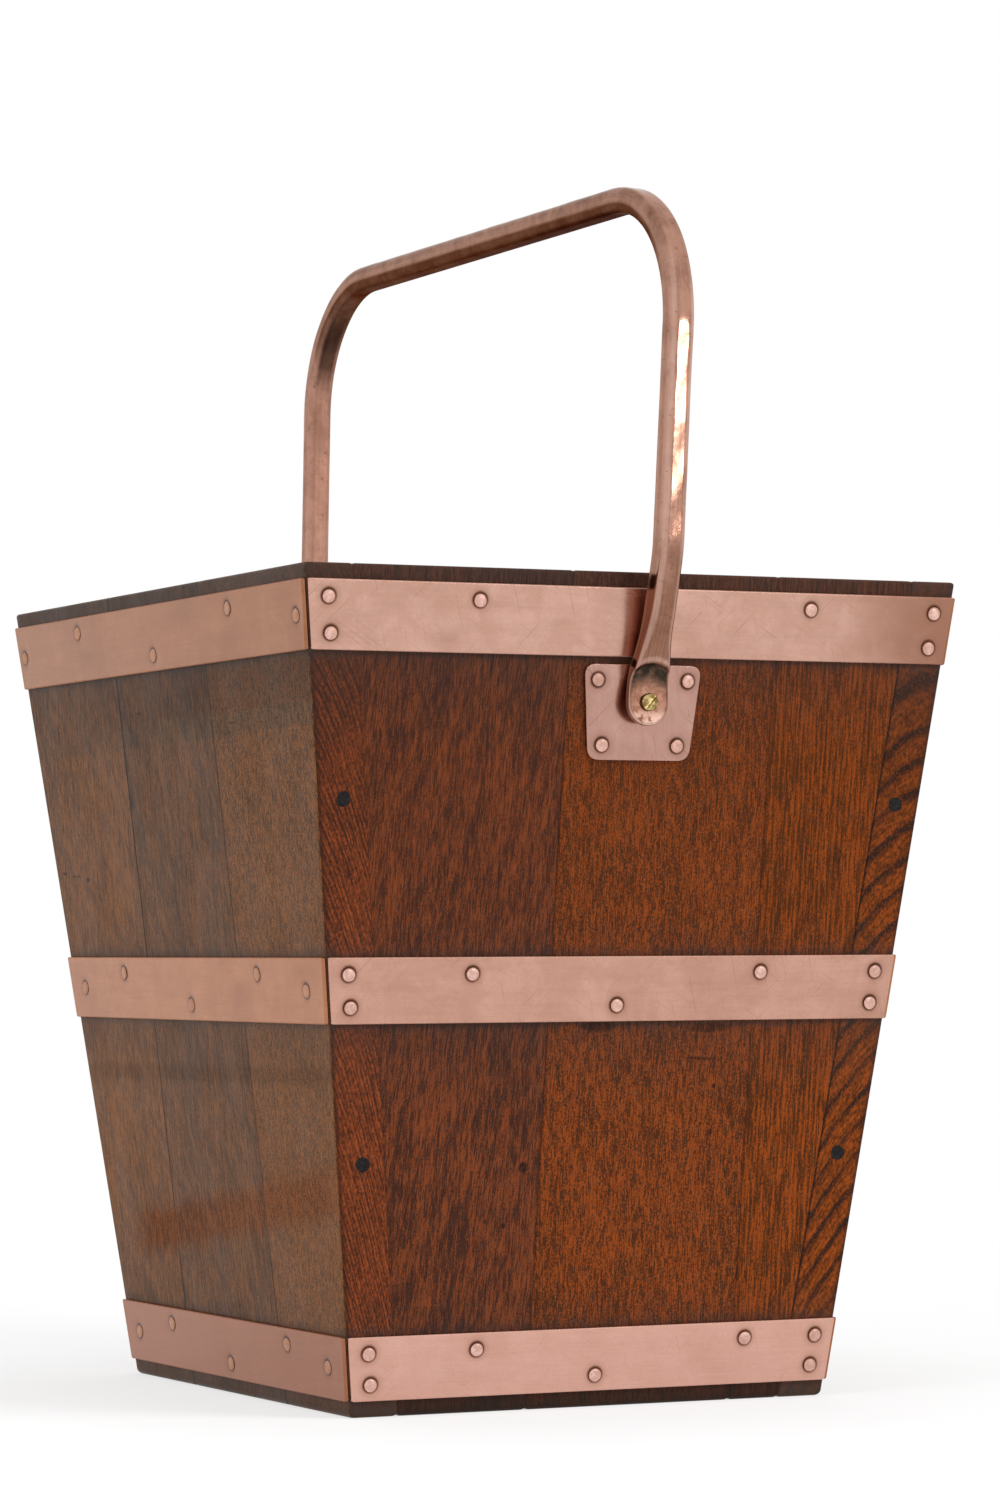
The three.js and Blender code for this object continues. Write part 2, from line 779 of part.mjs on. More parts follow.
const frontEnd = handleEnd();
const backEnd = solidOf(geometryOf(frontEnd).rotateZ(Math.PI));
const handle = addPiece('handle', geometryOf(bowSolid().add(frontEnd).add(backEnd)), handleCopper);
handle.position.set(pivotOffset, 0, pivotHeight);
handle.rotation.y = restLean;

export default bucket;
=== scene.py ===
"""Coal bucket: oak boards bound with copper strips, with a swinging copper handle.

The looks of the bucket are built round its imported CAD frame. Metres, +Z up, and -Y is the front.
"""

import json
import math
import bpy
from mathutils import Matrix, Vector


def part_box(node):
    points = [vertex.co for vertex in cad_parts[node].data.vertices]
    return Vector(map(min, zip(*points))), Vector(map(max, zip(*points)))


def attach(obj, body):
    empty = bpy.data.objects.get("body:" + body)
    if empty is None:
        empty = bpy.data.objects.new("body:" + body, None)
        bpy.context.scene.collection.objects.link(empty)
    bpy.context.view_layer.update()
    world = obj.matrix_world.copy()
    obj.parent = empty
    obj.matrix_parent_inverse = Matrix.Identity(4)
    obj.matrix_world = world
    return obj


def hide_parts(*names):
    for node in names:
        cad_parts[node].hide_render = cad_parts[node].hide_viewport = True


bl_info = {
    "name": "Coal bucket",
    "version": (1, 0, 0),
    "blender": (4, 5, 0),
    "location": "3D View > Sidebar > Coal bucket",
    "description": "Oak coal bucket with copper strips and a swinging copper handle",
    "category": "Add Mesh",
}

import bmesh
import bpy
import numpy as np
from bpy.props import FloatProperty, FloatVectorProperty, PointerProperty
from mathutils import Matrix, Vector

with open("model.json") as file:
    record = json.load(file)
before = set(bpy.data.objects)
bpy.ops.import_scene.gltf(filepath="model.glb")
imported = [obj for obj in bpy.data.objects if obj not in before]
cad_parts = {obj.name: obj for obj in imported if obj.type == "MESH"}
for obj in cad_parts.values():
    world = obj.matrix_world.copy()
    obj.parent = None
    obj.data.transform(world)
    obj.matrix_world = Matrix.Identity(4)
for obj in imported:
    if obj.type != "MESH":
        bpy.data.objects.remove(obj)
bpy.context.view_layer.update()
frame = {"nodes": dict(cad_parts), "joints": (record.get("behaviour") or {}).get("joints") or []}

MM = 0.001


# Sizes read from the frame


def node_points(*names):
    """All vertices of the named CAD nodes, as rows of x, y and z."""
    found = []
    for name in names:
        mesh = frame["nodes"][name].data
        flat = np.empty(len(mesh.vertices) * 3)
        mesh.vertices.foreach_get("co", flat)
        found.append(flat.reshape(-1, 3))
    return np.vstack(found)


def extent(points, axis):
    """Furthest distance of the points from the middle, along one axis."""
    return float(np.abs(points[:, axis]).max())


side_walls = node_points("left_board_front", "left_board_back", "right_board_front", "right_board_back")
wall_height = float(side_walls[:, 2].max())
rim_points = side_walls[side_walls[:, 2] > wall_height - MM]
foot_points = side_walls[side_walls[:, 2] < MM]
pivot = frame["joints"][0]["pos_m"]


# Sizes and colours that a user would change


def srgb(red, green, blue):
    """A colour given in levels from 0 to 255, as the linear values that a shader takes."""
    levels = np.array([red, green, blue]) / 255
    linear = np.where(levels <= 0.04045, levels / 12.92, ((levels + 0.055) / 1.055) ** 2.4)
    return tuple(float(value) for value in linear)


def scaled(tint, red, green, blue):
    """A colour with each of its parts multiplied."""
    return (tint[0] * red, tint[1] * green, tint[2] * blue)


def length(name, description, default):
    return FloatProperty(
        name=name, description=description, default=default, min=0, max=1, unit="LENGTH", precision=4
    )


def colour(name, description, levels):
    return FloatVectorProperty(
        name=name, description=description, default=srgb(*levels), size=3, min=0, max=1, subtype="COLOR"
    )


class BucketSizes(bpy.types.PropertyGroup):
    """Sizes of the bucket"""

    height: length("Height", "From the floor to the rim", wall_height)
    rim_half_width: length("Rim half width", "Half of the width at the rim", extent(rim_points, 0))
    rim_half_depth: length("Rim half depth", "Half of the depth at the rim", extent(rim_points, 1))
    foot_half_width: length("Foot half width", "Half of the width at the foot", extent(foot_points, 0))
    foot_half_depth: length("Foot half depth", "Half of the depth at the foot", extent(foot_points, 1))
    side_thickness: length("Side thickness", "Thickness of the left and right boards", 23.5 * MM)
    front_thickness: length("Front thickness", "Thickness of the front and back boards", 22 * MM)
    arris: length("Arris", "Radius of the bucket's worn corners", 1.3 * MM)
    joint_arris: length("Joint arris", "Radius of a board's long edges at a joint", 0.15 * MM)
    rim_wear: length("Rim wear", "Radius of the rim's edges", 1.6 * MM)
    foot_wear: length("Foot wear", "Radius of the foot's edges", 2.4 * MM)
    strip_thickness: length("Strip thickness", "Thickness of the copper strips", 1.6 * MM)
    seat_gap: length("Seat gap", "Gap between the copper and the wood", 0.3 * MM)
    nail_head: length("Nail head", "Diameter of a copper nail's head", 6.4 * MM)
    nail_rise: length("Nail rise", "How far a nail's head stands above the copper", 1.1 * MM)
    nail_dimple: length("Nail dimple", "How far the strip is driven in round a nail", 0.22 * MM)
    plate_corner: length("Plate corner", "Length taken off a pivot plate's corners", 6 * MM)
    bar_size: length("Bar size", "Width of the handle's square bar", 12.7 * MM)
    bar_corner: length("Bar corner", "Radius of the bar's corners", 3.5 * MM)
    handle_rise: length("Handle rise", "From the pivot to the middle of the crossbar", 238.9 * MM)
    handle_span: length("Handle span", "Span of the handle at the crossbar", 422.6 * MM)
    blade_width: length("Blade width", "Width of the handle's flattened ends", 21.1 * MM)
    blade_thickness: length("Blade thickness", "Thickness of the handle's flattened ends", 4.2 * MM)


class BucketColours(bpy.types.PropertyGroup):
    """Colours of the bucket"""

    front_oak: colour("Front oak", "Stain of the front and back boards", (97, 49, 26))
    side_oak: colour("Side oak", "Stain of the left and right boards", (93, 59, 34))
    edge_light: colour("Edge grain, light", "Early wood on the edges of the side boards", (112, 55, 28))
    edge_dark: colour("Edge grain, dark", "Late wood on the edges of the side boards", (44, 27, 21))
    # The grime colour also serves as painted shade in the dark line along each strip.
    grime_and_shade: colour("Grime", "Dirt below the strips, at the rim and at the foot", (61, 50, 45))
    peg: colour("Peg", "Ends of the pegs", (25, 23, 23))
    copper: colour("Copper", "Rubbed copper of the front and back strips and of the plates", (203, 158, 141))
    # The side strips' copper is set darker than the front's as painted shade.
    side_copper_shaded: colour("Side copper", "Duller copper of the left and right strips", (168, 117, 88))
    # On the handle's ridges and the lip of each recess, this pale copper is a painted highlight.
    copper_pale: colour("Copper, pale", "Rubbed copper, on the handle's ridges", (226, 188, 173))
    copper_deep: colour("Copper, deep", "Tarnished copper, in a spot on the handle", (150, 92, 66))
    handle: colour("Handle copper", "Copper of the handle", (186, 140, 120))
    # The deep handle copper also serves as painted shade on the handle's sides and underside.
    handle_deep: colour("Handle copper, deep", "Tarnished copper of the handle", (126, 84, 66))
    # In the recess this tarnish also carries painted shade below the arch.
    verdigris: colour("Verdigris", "Green black tarnish in the recesses of the handle", (46, 45, 37))
    brass: colour("Brass", "Pivot screws and washers", (200, 176, 122))
    iron: colour("Iron", "Nails in the base", (76, 72, 70))


def sizes():
    return bpy.context.scene.coal_bucket_sizes


def colour_of(name):
    return tuple(getattr(bpy.context.scene.coal_bucket_colours, name))


# Meshes

WELD = 0.002 * MM
WAVES = 16


class Surface:
    """Grids of points gathered into one mesh, with values for each point."""

    def __init__(self):
        self.points = []
        self.faces = []
        self.slots = []
        self.values = []
        self.count = 0

    def add(self, grid, wrap=True, caps=True, slot=0, values=None):
        """Adds a grid of rows and columns of points. Columns run anticlockwise seen from the last row's side,
        wrap joins the last column to the first, and caps closes the first and last rows."""
        rows, columns = grid.shape[:2]
        index = np.arange(rows * columns).reshape(rows, columns) + self.count
        looped = np.hstack([index, index[:, :1]]) if wrap else index
        quads = np.stack([looped[:-1, :-1], looped[:-1, 1:], looped[1:, 1:], looped[1:, :-1]], axis=-1)
        faces = quads.reshape(-1, 4).tolist()
        if caps:
            faces += [index[0, ::-1].tolist(), index[-1].tolist()]
        self.points.append(grid.reshape(-1, 3))
        self.faces += faces
        self.slots += [slot] * len(faces)
        self.values.append(np.zeros((rows * columns, 3)) if values is None else values.reshape(-1, 3))
        self.count += rows * columns

    def build(self, name, materials, smooth=math.radians(35), weld=True):
        """The mesh as an object at the origin. Its faces are shaded smooth up to an angle, and where
        welded, its seams and poles are closed."""
        mesh = bpy.data.meshes.new(name)
        mesh.from_pydata(np.vstack(self.points).tolist(), [], self.faces)
        mesh.polygons.foreach_set("material_index", self.slots)
        place = mesh.attributes.new("place", "FLOAT_VECTOR", "POINT")
        place.data.foreach_set("vector", np.vstack(self.values).astype(np.float32).ravel())
        if weld:
            shell = bmesh.new()
            shell.from_mesh(mesh)
            bmesh.ops.remove_doubles(shell, verts=shell.verts, dist=WELD)
            bmesh.ops.dissolve_degenerate(shell, edges=shell.edges, dist=WELD / 2)
            shell.to_mesh(mesh)
            shell.free()
        mesh.validate()
        mesh.polygons.foreach_set("use_smooth", [True] * len(mesh.polygons))
        mesh.set_sharp_from_angle(angle=smooth)
        for material in materials:
            mesh.materials.append(material)
        piece = bpy.data.objects.new(name, mesh)
        bpy.context.scene.collection.objects.link(piece)
        return piece


def finish_piece(piece, body, slot, *nodes):
    """Sets the piece on its body in place of its CAD nodes, which it hides. Its slot is not used."""
    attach(piece, body)
    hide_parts(*nodes)


def crowded(count, ends):
    """Shares from 0 to 1 that lie closer together towards both ends: a power of the distance from each
    end."""
    plain = np.linspace(-1, 1, count)
    return (np.sign(plain) * (1 - (1 - np.abs(plain)) ** ends) + 1) / 2


def quarter_round(distance, radius):
    """How far a rounded edge falls back at a distance from the edge: a quarter circle that starts at the
    radius."""
    inside = np.clip(radius - distance, 0, radius)
    return radius - np.sqrt(radius**2 - inside**2)


def smooth_step(value, low, high):
    """A share that rises from 0 to 1 between low and high: three squares less two cubes of the way."""
    share = np.clip((value - low) / (high - low), 0, 1)
    return share * share * (3 - 2 * share)


def soft_waves(a, b, seed, shortest, longest):
    """A smooth random relief of about -1 to 1: plain waves in many directions, of lengths between two
    limits."""
    chance = np.random.default_rng(seed)
    lengths = chance.uniform(shortest, longest, WAVES)
    headings = chance.uniform(0, np.pi, WAVES)
    phases = chance.uniform(0, 2 * np.pi, WAVES)
    total = sum(
        np.sin(2 * np.pi * (a * np.cos(h) + b * np.sin(h)) / size + p)
        for size, h, p in zip(lengths, headings, phases)
    )
    return total / math.sqrt(WAVES) / 1.6


def turned(points, angle):
    """Points turned about the upright axis."""
    cosine, sine = math.cos(angle), math.sin(angle)
    x, y, z = points[..., 0], points[..., 1], points[..., 2]
    return np.stack([x * cosine - y * sine, x * sine + y * cosine, z], axis=-1)


def framed(points, matrix):
    """Points carried into a frame."""
    return points @ matrix[:3, :3].T + matrix[:3, 3]


def lathe(profile, facets, wobble=0.0, seed=0):
    """A turned shape about z: each row is one ring of the profile of radius and height,
    its radius varied a little round the turn by three slow waves."""
    radius, height = np.array(profile, float).T
    angle = np.linspace(0, 2 * np.pi, facets, endpoint=False)
    chance = np.random.default_rng(seed)
    phases = chance.uniform(0, 2 * np.pi, 3)
    waves = sum(np.sin((k + 2) * angle + phases[k]) / (k + 2) for k in range(3))
    round_radius = radius[:, None] * (1 + wobble * waves[None, :])
    z = np.broadcast_to(height[:, None], round_radius.shape)
    return np.stack([round_radius * np.cos(angle), round_radius * np.sin(angle), z], axis=-1)


def directions(corners, axis):
    """From each corner of a closed outline, the ways to the last corner and to the next one, of length 1."""
    ways = [np.roll(corners, step, axis=axis) - corners for step in (1, -1)]
    return [way / np.linalg.norm(way, axis=axis + 1, keepdims=True) for way in ways]


def corner_curve(start, hub, end, share):
    """A corner rounded by a curve of second order that leaves and meets the sides at its two ends."""
    return start * (1 - share) ** 2 + hub * 2 * share * (1 - share) + end * share**2


# The four walls. Each is drawn as the front one, and then turned about the upright axis.

WALL_TURNS = {"front": 0.0, "right": math.pi / 2, "back": math.pi, "left": -math.pi / 2}
PIVOTED = ("front", "back")


def half_width(z):
    size = sizes()
    return size.foot_half_width + (size.rim_half_width - size.foot_half_width) * z / size.height


def half_depth(z):
    size = sizes()
    return size.foot_half_depth + (size.rim_half_depth - size.foot_half_depth) * z / size.height


def reach(side, z):
    """Distance of a wall's outer face from the middle, at a height."""
    return half_depth(z) if side in PIVOTED else half_width(z)


def span(side, z):
    """Half of a wall's length, at a height."""
    return half_width(z) if side in PIVOTED else half_depth(z)


def slope(side):
    """How far a wall leans out for each metre of height."""
    return float(reach(side, 1.0) - reach(side, 0.0))


def wall_frame(side, along, height, upright=False):
    """A frame on a wall's outer face: x along, y up the wood and z straight out of it, or level where
    upright."""
    lean = 0.0 if upright else math.atan(slope(side))
    matrix = (
        Matrix.Rotation(WALL_TURNS[side], 4, "Z")
        @ Matrix.Translation((along, -float(reach(side, height)), height))
        @ Matrix.Rotation(math.pi / 2 + lean, 4, "X")
    )
    return np.array(matrix)


# Nodes


class Nodes:
    """Short ways to add nodes to a tree. Most give the new node's output."""

    def __init__(self, tree):
        self.tree = tree

    def node(self, kind, **settings):
        made = self.tree.nodes.new(kind)
        for key, value in settings.items():
            setattr(made, key, value)
        return made

    def join(self, value, socket):
        """Links an output to a socket, or sets the socket to a number or colour."""
        if isinstance(value, bpy.types.NodeSocket):
            self.tree.links.new(value, socket)
        elif socket.type == "RGBA" and len(value) == 3:
            socket.default_value = (*value, 1)
        else:
            socket.default_value = value

    def fill(self, made, **inputs):
        """Joins a node's sockets by their names, such as Base_Color or From_Min, and gives the node."""
        for name, value in inputs.items():
            self.join(value, made.inputs[name.replace("_", " ")])
        return made

    def math(self, operation, *values, clamp=False):
        made = self.node("ShaderNodeMath", operation=operation, use_clamp=clamp)
        for socket, value in zip(made.inputs, values):
            self.join(value, socket)
        return made.outputs[0]


class Finish(Nodes):
    """A material, and more ways to add its nodes."""

    def __init__(self, name):
        self.material = bpy.data.materials.new(name)
        self.material.use_nodes = True
        super().__init__(self.material.node_tree)
        self.shader = self.tree.nodes["Principled BSDF"]
        self.position = self.node("ShaderNodeTexCoord").outputs["Object"]

    def times(self, first, *others):
        for other in others:
            first = self.math("MULTIPLY", first, other)
        return first

    def minus(self, first, second):
        return self.math("SUBTRACT", first, second)

    def line(self, value, rise, start):
        """The value times its rise, plus a start."""
        return self.math("MULTIPLY_ADD", value, rise, start)

    def parts(self, vector):
        return self.fill(self.node("ShaderNodeSeparateXYZ"), Vector=vector).outputs

    def vector(self, x, y, z):
        return self.fill(self.node("ShaderNodeCombineXYZ"), X=x, Y=y, Z=z).outputs[0]

    def size(self, vector):
        made = self.node("ShaderNodeVectorMath", operation="LENGTH")
        return self.fill(made, Vector=vector).outputs["Value"]

    def place(self):
        """The three parts of the attribute place."""
        return self.parts(self.node("ShaderNodeAttribute", attribute_name="place").outputs["Vector"])

    def mapped(self, scale, shift=(0, 0, 0), turn=(0, 0, 0), vector=None):
        """Coordinates turned, then stretched and shifted. A scale of 100 gives features of about 10 mm."""
        vector = self.position if vector is None else vector
        scale = scale if isinstance(scale, tuple) else (scale,) * 3
        for settings in ({"Rotation": turn}, {"Location": shift, "Scale": scale}):
            vector = self.fill(self.node("ShaderNodeMapping"), Vector=vector, **settings).outputs[0]
        return vector

    def noise(self, scale, shift=(0, 0, 0), turn=(0, 0, 0), vector=None, **inputs):
        """Cloudy noise over mapped coordinates, with a Detail, Roughness or Distortion of its own."""
        made = self.node("ShaderNodeTexNoise")
        self.fill(made, Vector=self.mapped(scale, shift, turn, vector), Scale=1.0, **inputs)
        return made.outputs["Fac"]

    def spread(self, value, low, high, to_low=0.0, to_high=1.0):
        """The value between low and high, eased into a new range and held at its ends."""
        made = self.node("ShaderNodeMapRange", interpolation_type="SMOOTHSTEP", clamp=True)
        self.fill(made, Value=value, From_Min=low, From_Max=high, To_Min=to_low, To_Max=to_high)
        return made.outputs["Result"]

    def between(self, value, low, high, soft):
        """1 where the value lies between low and high, falling to 0 over a soft edge."""
        rising = self.spread(value, low - soft, low + soft)
        return self.times(rising, self.spread(value, high - soft, high + soft, 1.0, 0.0))

    def ramp(self, value, *stops):
        """A colour or grey ramp through stops of share and colour."""
        made = self.fill(self.node("ShaderNodeValToRGB"), Fac=value)
        elements = made.color_ramp.elements
        while len(elements) < len(stops):
            elements.new(0.5)
        for element, (share, tint) in zip(elements, stops):
            element.position = share
            element.color = (*tint, 1) if isinstance(tint, tuple) else (tint, tint, tint, 1)
        return made.outputs["Color"]

    def mix(self, factor, first, second):
        made = self.node("ShaderNodeMix", data_type="RGBA")
        sockets = {socket.identifier: socket for socket in (*made.inputs, *made.outputs)}
        for key, value in (("Factor_Float", factor), ("A_Color", first), ("B_Color", second)):
            self.join(value, sockets[key])
        return sockets["Result_Color"]

    def coat(self, under, over, value, low, high, strength=1.0):
        """A colour over another, from nothing where the value is low to a strength where it is high."""
        return self.mix(self.spread(value, low, high, 0.0, strength), under, over)

    def bump(self, height, depth, strength, **inputs):
        """Relief of a height from 0 to 1, a depth in metres at its highest."""
        made = self.node("ShaderNodeBump")
        return self.fill(made, Height=height, Distance=depth, Strength=strength, **inputs).outputs["Normal"]

    def surface(self, **inputs):
        """Joins the shader's sockets, and gives the material."""
        self.fill(self.shader, **inputs)
        return self.material

    def spot(self, centre, radii, turn=0.0, soft=0.35):
        """1 inside an egg shape about a place in mm, falling to 0 at its rim. The turn is about the y
        axis."""
        shifted = self.node("ShaderNodeVectorMath", operation="SUBTRACT")
        self.join(self.position, shifted.inputs[0])
        self.join(tuple(value * MM for value in centre), shifted.inputs[1])
        scale = tuple(1 / (value * MM) for value in radii)
        size = self.size(self.mapped(scale, turn=(0, turn, 0), vector=shifted.outputs[0]))
        return self.spread(size, 1.0, 1.0 - soft)


def speckled(name, scale, detail, tints, limits, roughness, relief, **inputs):
    """A material of two tints in small clouds, which its roughness and its relief follow."""
    finish = Finish(name)
    cloud = finish.noise(scale, Detail=detail)
    return finish.surface(
        Base_Color=finish.coat(*tints, cloud, *limits),
        Roughness=finish.spread(cloud, 0.3, 0.7, *roughness),
        Normal=finish.bump(cloud, *relief),
        **inputs,
    )


# Copper strips: heights and the places of their nails

NAIL_ROW = 7.7 * MM
FRONT_END_NAIL = 10 * MM
SIDE_NAIL_SHARES = (-0.525, 0.525)
BAND_LEVELS = {
    "upper": {"front": (-0.49, 0.54), "middle": pivot[0], "inset": 9 * MM},
    "middle": {"front": (-0.51, 0.51), "middle": 0.0, "inset": 20 * MM},
    "lower": {"front": (-0.49, 0.62), "middle": 0.0, "inset": 18.5 * MM},
}


def measured_bands():
    """Each strip's lowest height and width, read from the frame's front strips."""
    found = {}
    for level, facts in BAND_LEVELS.items():
        low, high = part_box(f"band_{level}_front")
        found[level] = {"low": low.z, "width": high.z - low.z, **facts}
    return found


BANDS = measured_bands()


def strip_nails(side, band):
    """Places of one strip's nails, along the wall and in height."""
    upper_row = band["low"] + band["width"] - NAIL_ROW
    lower_row = band["low"] + NAIL_ROW
    shares = band["front"] if side in PIVOTED else SIDE_NAIL_SHARES
    places = [(share * span(side, upper_row), upper_row) for share in shares]
    for end in (-1, 1):
        if side in PIVOTED:
            places += [(end * (span(side, row) - FRONT_END_NAIL), row) for row in (upper_row, lower_row)]
        else:
            row = (upper_row + lower_row) / 2
            places.append((end * (span(side, row) - band["inset"]), row))
    places.append((band["middle"] if side in PIVOTED else 0.0, lower_row))
    return places


# Oak

# How dark the wood is, each time after a share of the bucket's height or a share away from a strip's edge:
# dirt at the foot and the rim, and grime with painted shade along each strip
FOOT_DIRT = ((0.0, 0.95), (0.016, 0.85), (0.026, 0.75))
RIM_DIRT = ((0.972, 0.6), (0.99, 0.75))
BELOW_STRIP_DIRT_AND_SHADE = ((-0.12, 0.0), (-0.05, 0.16), (-0.009, 0.34), (-0.004, 0.7))
ABOVE_STRIP_DIRT_AND_SHADE = ((0.004, 0.5), (0.012, 0.16), (0.05, 0.0))
DIRT_WANDER = 8 * MM

SEAM_DARK = srgb(24, 17, 14)
MARK_DARK = srgb(27, 20, 17)
OAK_GLOSS = 0.06
RING_SPACING = 2.7 * MM
BAND_END_SOFTNESS = 24 * MM

# Tints of late and early wood, for the front and back boards (True) and for the side boards (False)
GRAIN_TINTS = {True: ((0.42, 0.56, 0.85), (1.8, 1.6, 1.15)), False: ((0.4, 0.5, 0.7), (1.75, 1.7, 1.4))}


def shade_and_grime_mask(finish, height):
    """How dark the wood is at a height: a dark line at each copper strip, dirty and with painted shade, that
    fades away from it, and dirty wood at the rim and at the foot, with an edge that wanders a little."""
    wander = finish.noise((160, 160, 40), Detail=3)
    moved = finish.line(wander, DIRT_WANDER, finish.minus(height, DIRT_WANDER / 2))
    stops = [*FOOT_DIRT, *RIM_DIRT]
    for level, band in BANDS.items():
        low = band["low"] / wall_height
        high = (band["low"] + band["width"]) / wall_height
        if level != "lower":
            stops += [(low + away, dirt_and_shade) for away, dirt_and_shade in BELOW_STRIP_DIRT_AND_SHADE]
        if level != "upper":
            stops += [(high + away, dirt_and_shade) for away, dirt_and_shade in ABOVE_STRIP_DIRT_AND_SHADE]
    return finish.ramp(finish.math("DIVIDE", moved, wall_height), *sorted(stops))


def wall_turn(side, lean):
    """The turn that stands a wall's slanting face upright, so that grain follows it, with a lean along the
    wall."""
    slant = math.atan(slope(side)) * (-1 if side in ("front", "right") else 1)
    return (slant, lean, 0) if side in PIVOTED else (lean, slant, 0)


def oak_grain(finish, height, side, shift, look):
    """Values for a board's grain, its finest streaks and its pores. The grain is 0.5 and a sum of layers
    about it: fine streaks, broader ones, grit, flakes that slant across, clouds, and where the look has
    them, straight growth rings as a sine wave. It is deepest towards the foot."""
    across, along, depth, flake = (look[key] for key in ("across", "along", "depth", "flake"))
    turn = wall_turn(side, look["lean"])
    flake_turn = wall_turn(side, look["lean"] + look["slant"])
    fine = finish.noise((across, across, along), shift, turn, Roughness=0.65)
    layers = [
        (fine, depth),
        (finish.noise((across / 3.5, across / 3.5, along / 3), shift, turn), look["bold"] * depth),
        (finish.noise((1500, 1500, 900), shift, turn, Roughness=0.6), look["grit"]),
        (finish.noise((150, 150, 34), shift, flake_turn, Detail=4, Roughness=0.65), 3.2 * flake),
        (finish.noise((30, 30, 20), shift, turn, Detail=3), 2.2 * flake),
    ]
    if look["rings"]:
        drift = finish.noise((60, 60, 8), shift, turn)
        upright = finish.parts(finish.mapped(1, turn=turn))[0 if side in PIVOTED else 1]
        phase = finish.line(drift, 14.0, finish.times(upright, 2 * math.pi / RING_SPACING))
        layers.append((finish.line(finish.math("SINE", phase), 0.5, 0.5), look["rings"]))
    total = 0.0
    for layer, strength in layers:
        total = finish.math("ADD", total, finish.line(layer, strength, -0.5 * strength))
    deepest = 1.25 if side in PIVOTED else 1.6
    grain = finish.line(total, finish.spread(height, 300 * MM, 110 * MM, 1.0, deepest), 0.5)
    dash = finish.noise((across * 1.5, across * 1.5, along * 1.3), shift, turn, Detail=1)
    return grain, fine, finish.spread(dash, 0.57, 0.66)


def painted_reflection_band(finish, grain, y, z, shift, low, high, tilt, soft, tint, strengths, ends):
    """Where a band of painted reflection lies on the left wall, and its colour with the grain in it. It lies
    between two heights that fall towards the back by a tilt and wander, and between two ends in y, and its
    strength changes from front to back."""
    wander = finish.noise((110, 110, 60), shift, Detail=4, Roughness=0.65)
    level = finish.line(y, tilt, finish.line(wander, 2.5 * soft * MM, z))
    lift = 1.2 * soft
    share = finish.times(
        finish.between(y, ends[0] * MM, ends[1] * MM, BAND_END_SOFTNESS),
        finish.spread(y, -60 * MM, 130 * MM, *strengths),
        finish.between(level, (low + lift) * MM, (high + lift) * MM, soft * MM),
    )
    stops = ((0.1, scaled(tint, 0.5, 0.5, 0.6)), (0.5, tint), (1.0, scaled(tint, 1.5, 1.45, 1.3)))
    return share, finish.ramp(grain, *stops)


def with_dirt_and_shade(finish, wood, fine, z, side):
    """Streaky dirty tone on the wood, with painted shade along the strips, blacker at the foot and a little
    thinner low on the side walls.
    """
    grime_and_shade = colour_of("grime_and_shade")
    dirt_and_shade = finish.coat(scaled(grime_and_shade, 0.6, 0.6, 0.65), grime_and_shade, fine, 0.35, 0.65)
    dirt_and_shade = finish.coat(dirt_and_shade, scaled(grime_and_shade, 0.34, 0.3, 0.28), z, 26 * MM, 10 * MM, 0.75)
    # The mask lays painted shade along the strips as well as dirt.
    mask = shade_and_grime_mask(finish, z)
    if side not in PIVOTED:
        mask = finish.times(mask, finish.spread(z, 180 * MM, 190 * MM, 0.75, 1.0))
    return finish.mix(mask, wood, dirt_and_shade)


def oak(name, seed, side, look, reflection_bands, marks):
    """Stained oak with an upright grain that follows the slant of its wall, short dark pores, dark seams,
    bands of painted reflection that take its gloss away, dirty wood with painted shade along the strips, and
    dark marks. The front and back are darker towards the rim as painted shade, and the sides paler towards
    the foot."""
    finish = Finish(name)
    x, y, z = finish.parts(finish.position)
    pivoted = side in PIVOTED
    tint = scaled(colour_of("front_oak" if pivoted else "side_oak"), *look["tone"])
    shift = (seed * 3.7, seed * 5.1, seed * 1.3)
    grain, fine, pores = oak_grain(finish, z, side, shift, look)
    late, early = GRAIN_TINTS[pivoted]
    wood = finish.ramp(grain, (0.0, scaled(tint, *late)), (0.5, tint), (1.0, scaled(tint, *early)))
    wood = finish.mix(finish.times(pores, 0.45), wood, scaled(tint, 0.25, 0.32, 0.5))
    for place, strength in look["seams"]:
        away = finish.math("ABSOLUTE", finish.minus(x if pivoted else y, place * MM))
        wood = finish.coat(wood, SEAM_DARK, away, 1.3 * MM, 0.3 * MM, strength)
    gloss = OAK_GLOSS
    # Bands of painted reflection on the left wall, where the varnish also loses its gloss.
    for tinting in reflection_bands:
        share, patched = painted_reflection_band(finish, grain, y, z, shift, *tinting)
        wood = finish.mix(share, wood, patched)
        gloss = finish.times(gloss, finish.minus(1.0, share))
    # Painted shade: the front and back darken towards the rim. The sides grow paler towards the foot.
    if pivoted:
        wood = finish.coat(wood, scaled(tint, 0.35, 0.4, 0.6), z, 90 * MM, 370 * MM, 0.2)
    else:
        wood = finish.coat(wood, scaled(tint, 2.2, 2.2, 2.2), z, 330 * MM, 130 * MM, 0.14)
    wood = with_dirt_and_shade(finish, wood, fine, z, side)
    for centre, radii, tilt, strength in marks:
        spot = finish.spot(centre, radii, tilt, 0.9 if strength < 0.5 else 0.5)
        ragged = finish.spread(finish.noise((700, 700, 300), shift), 0.3, 0.6, 0.5, 1.0)
        wood = finish.mix(finish.times(spot, ragged, strength), wood, MARK_DARK)
    relief = finish.minus(finish.times(fine, 0.6), finish.times(pores, 0.5))
    wear = finish.noise((35, 35, 20), shift, Detail=3)
    return finish.surface(
        Base_Color=wood,
        Roughness=finish.line(pores, 0.15, finish.spread(wear, 0.3, 0.7, 0.32, 0.44)),
        Normal=finish.bump(relief, 0.1 * MM, 0.5),
        Specular_IOR_Level=gloss,
    )


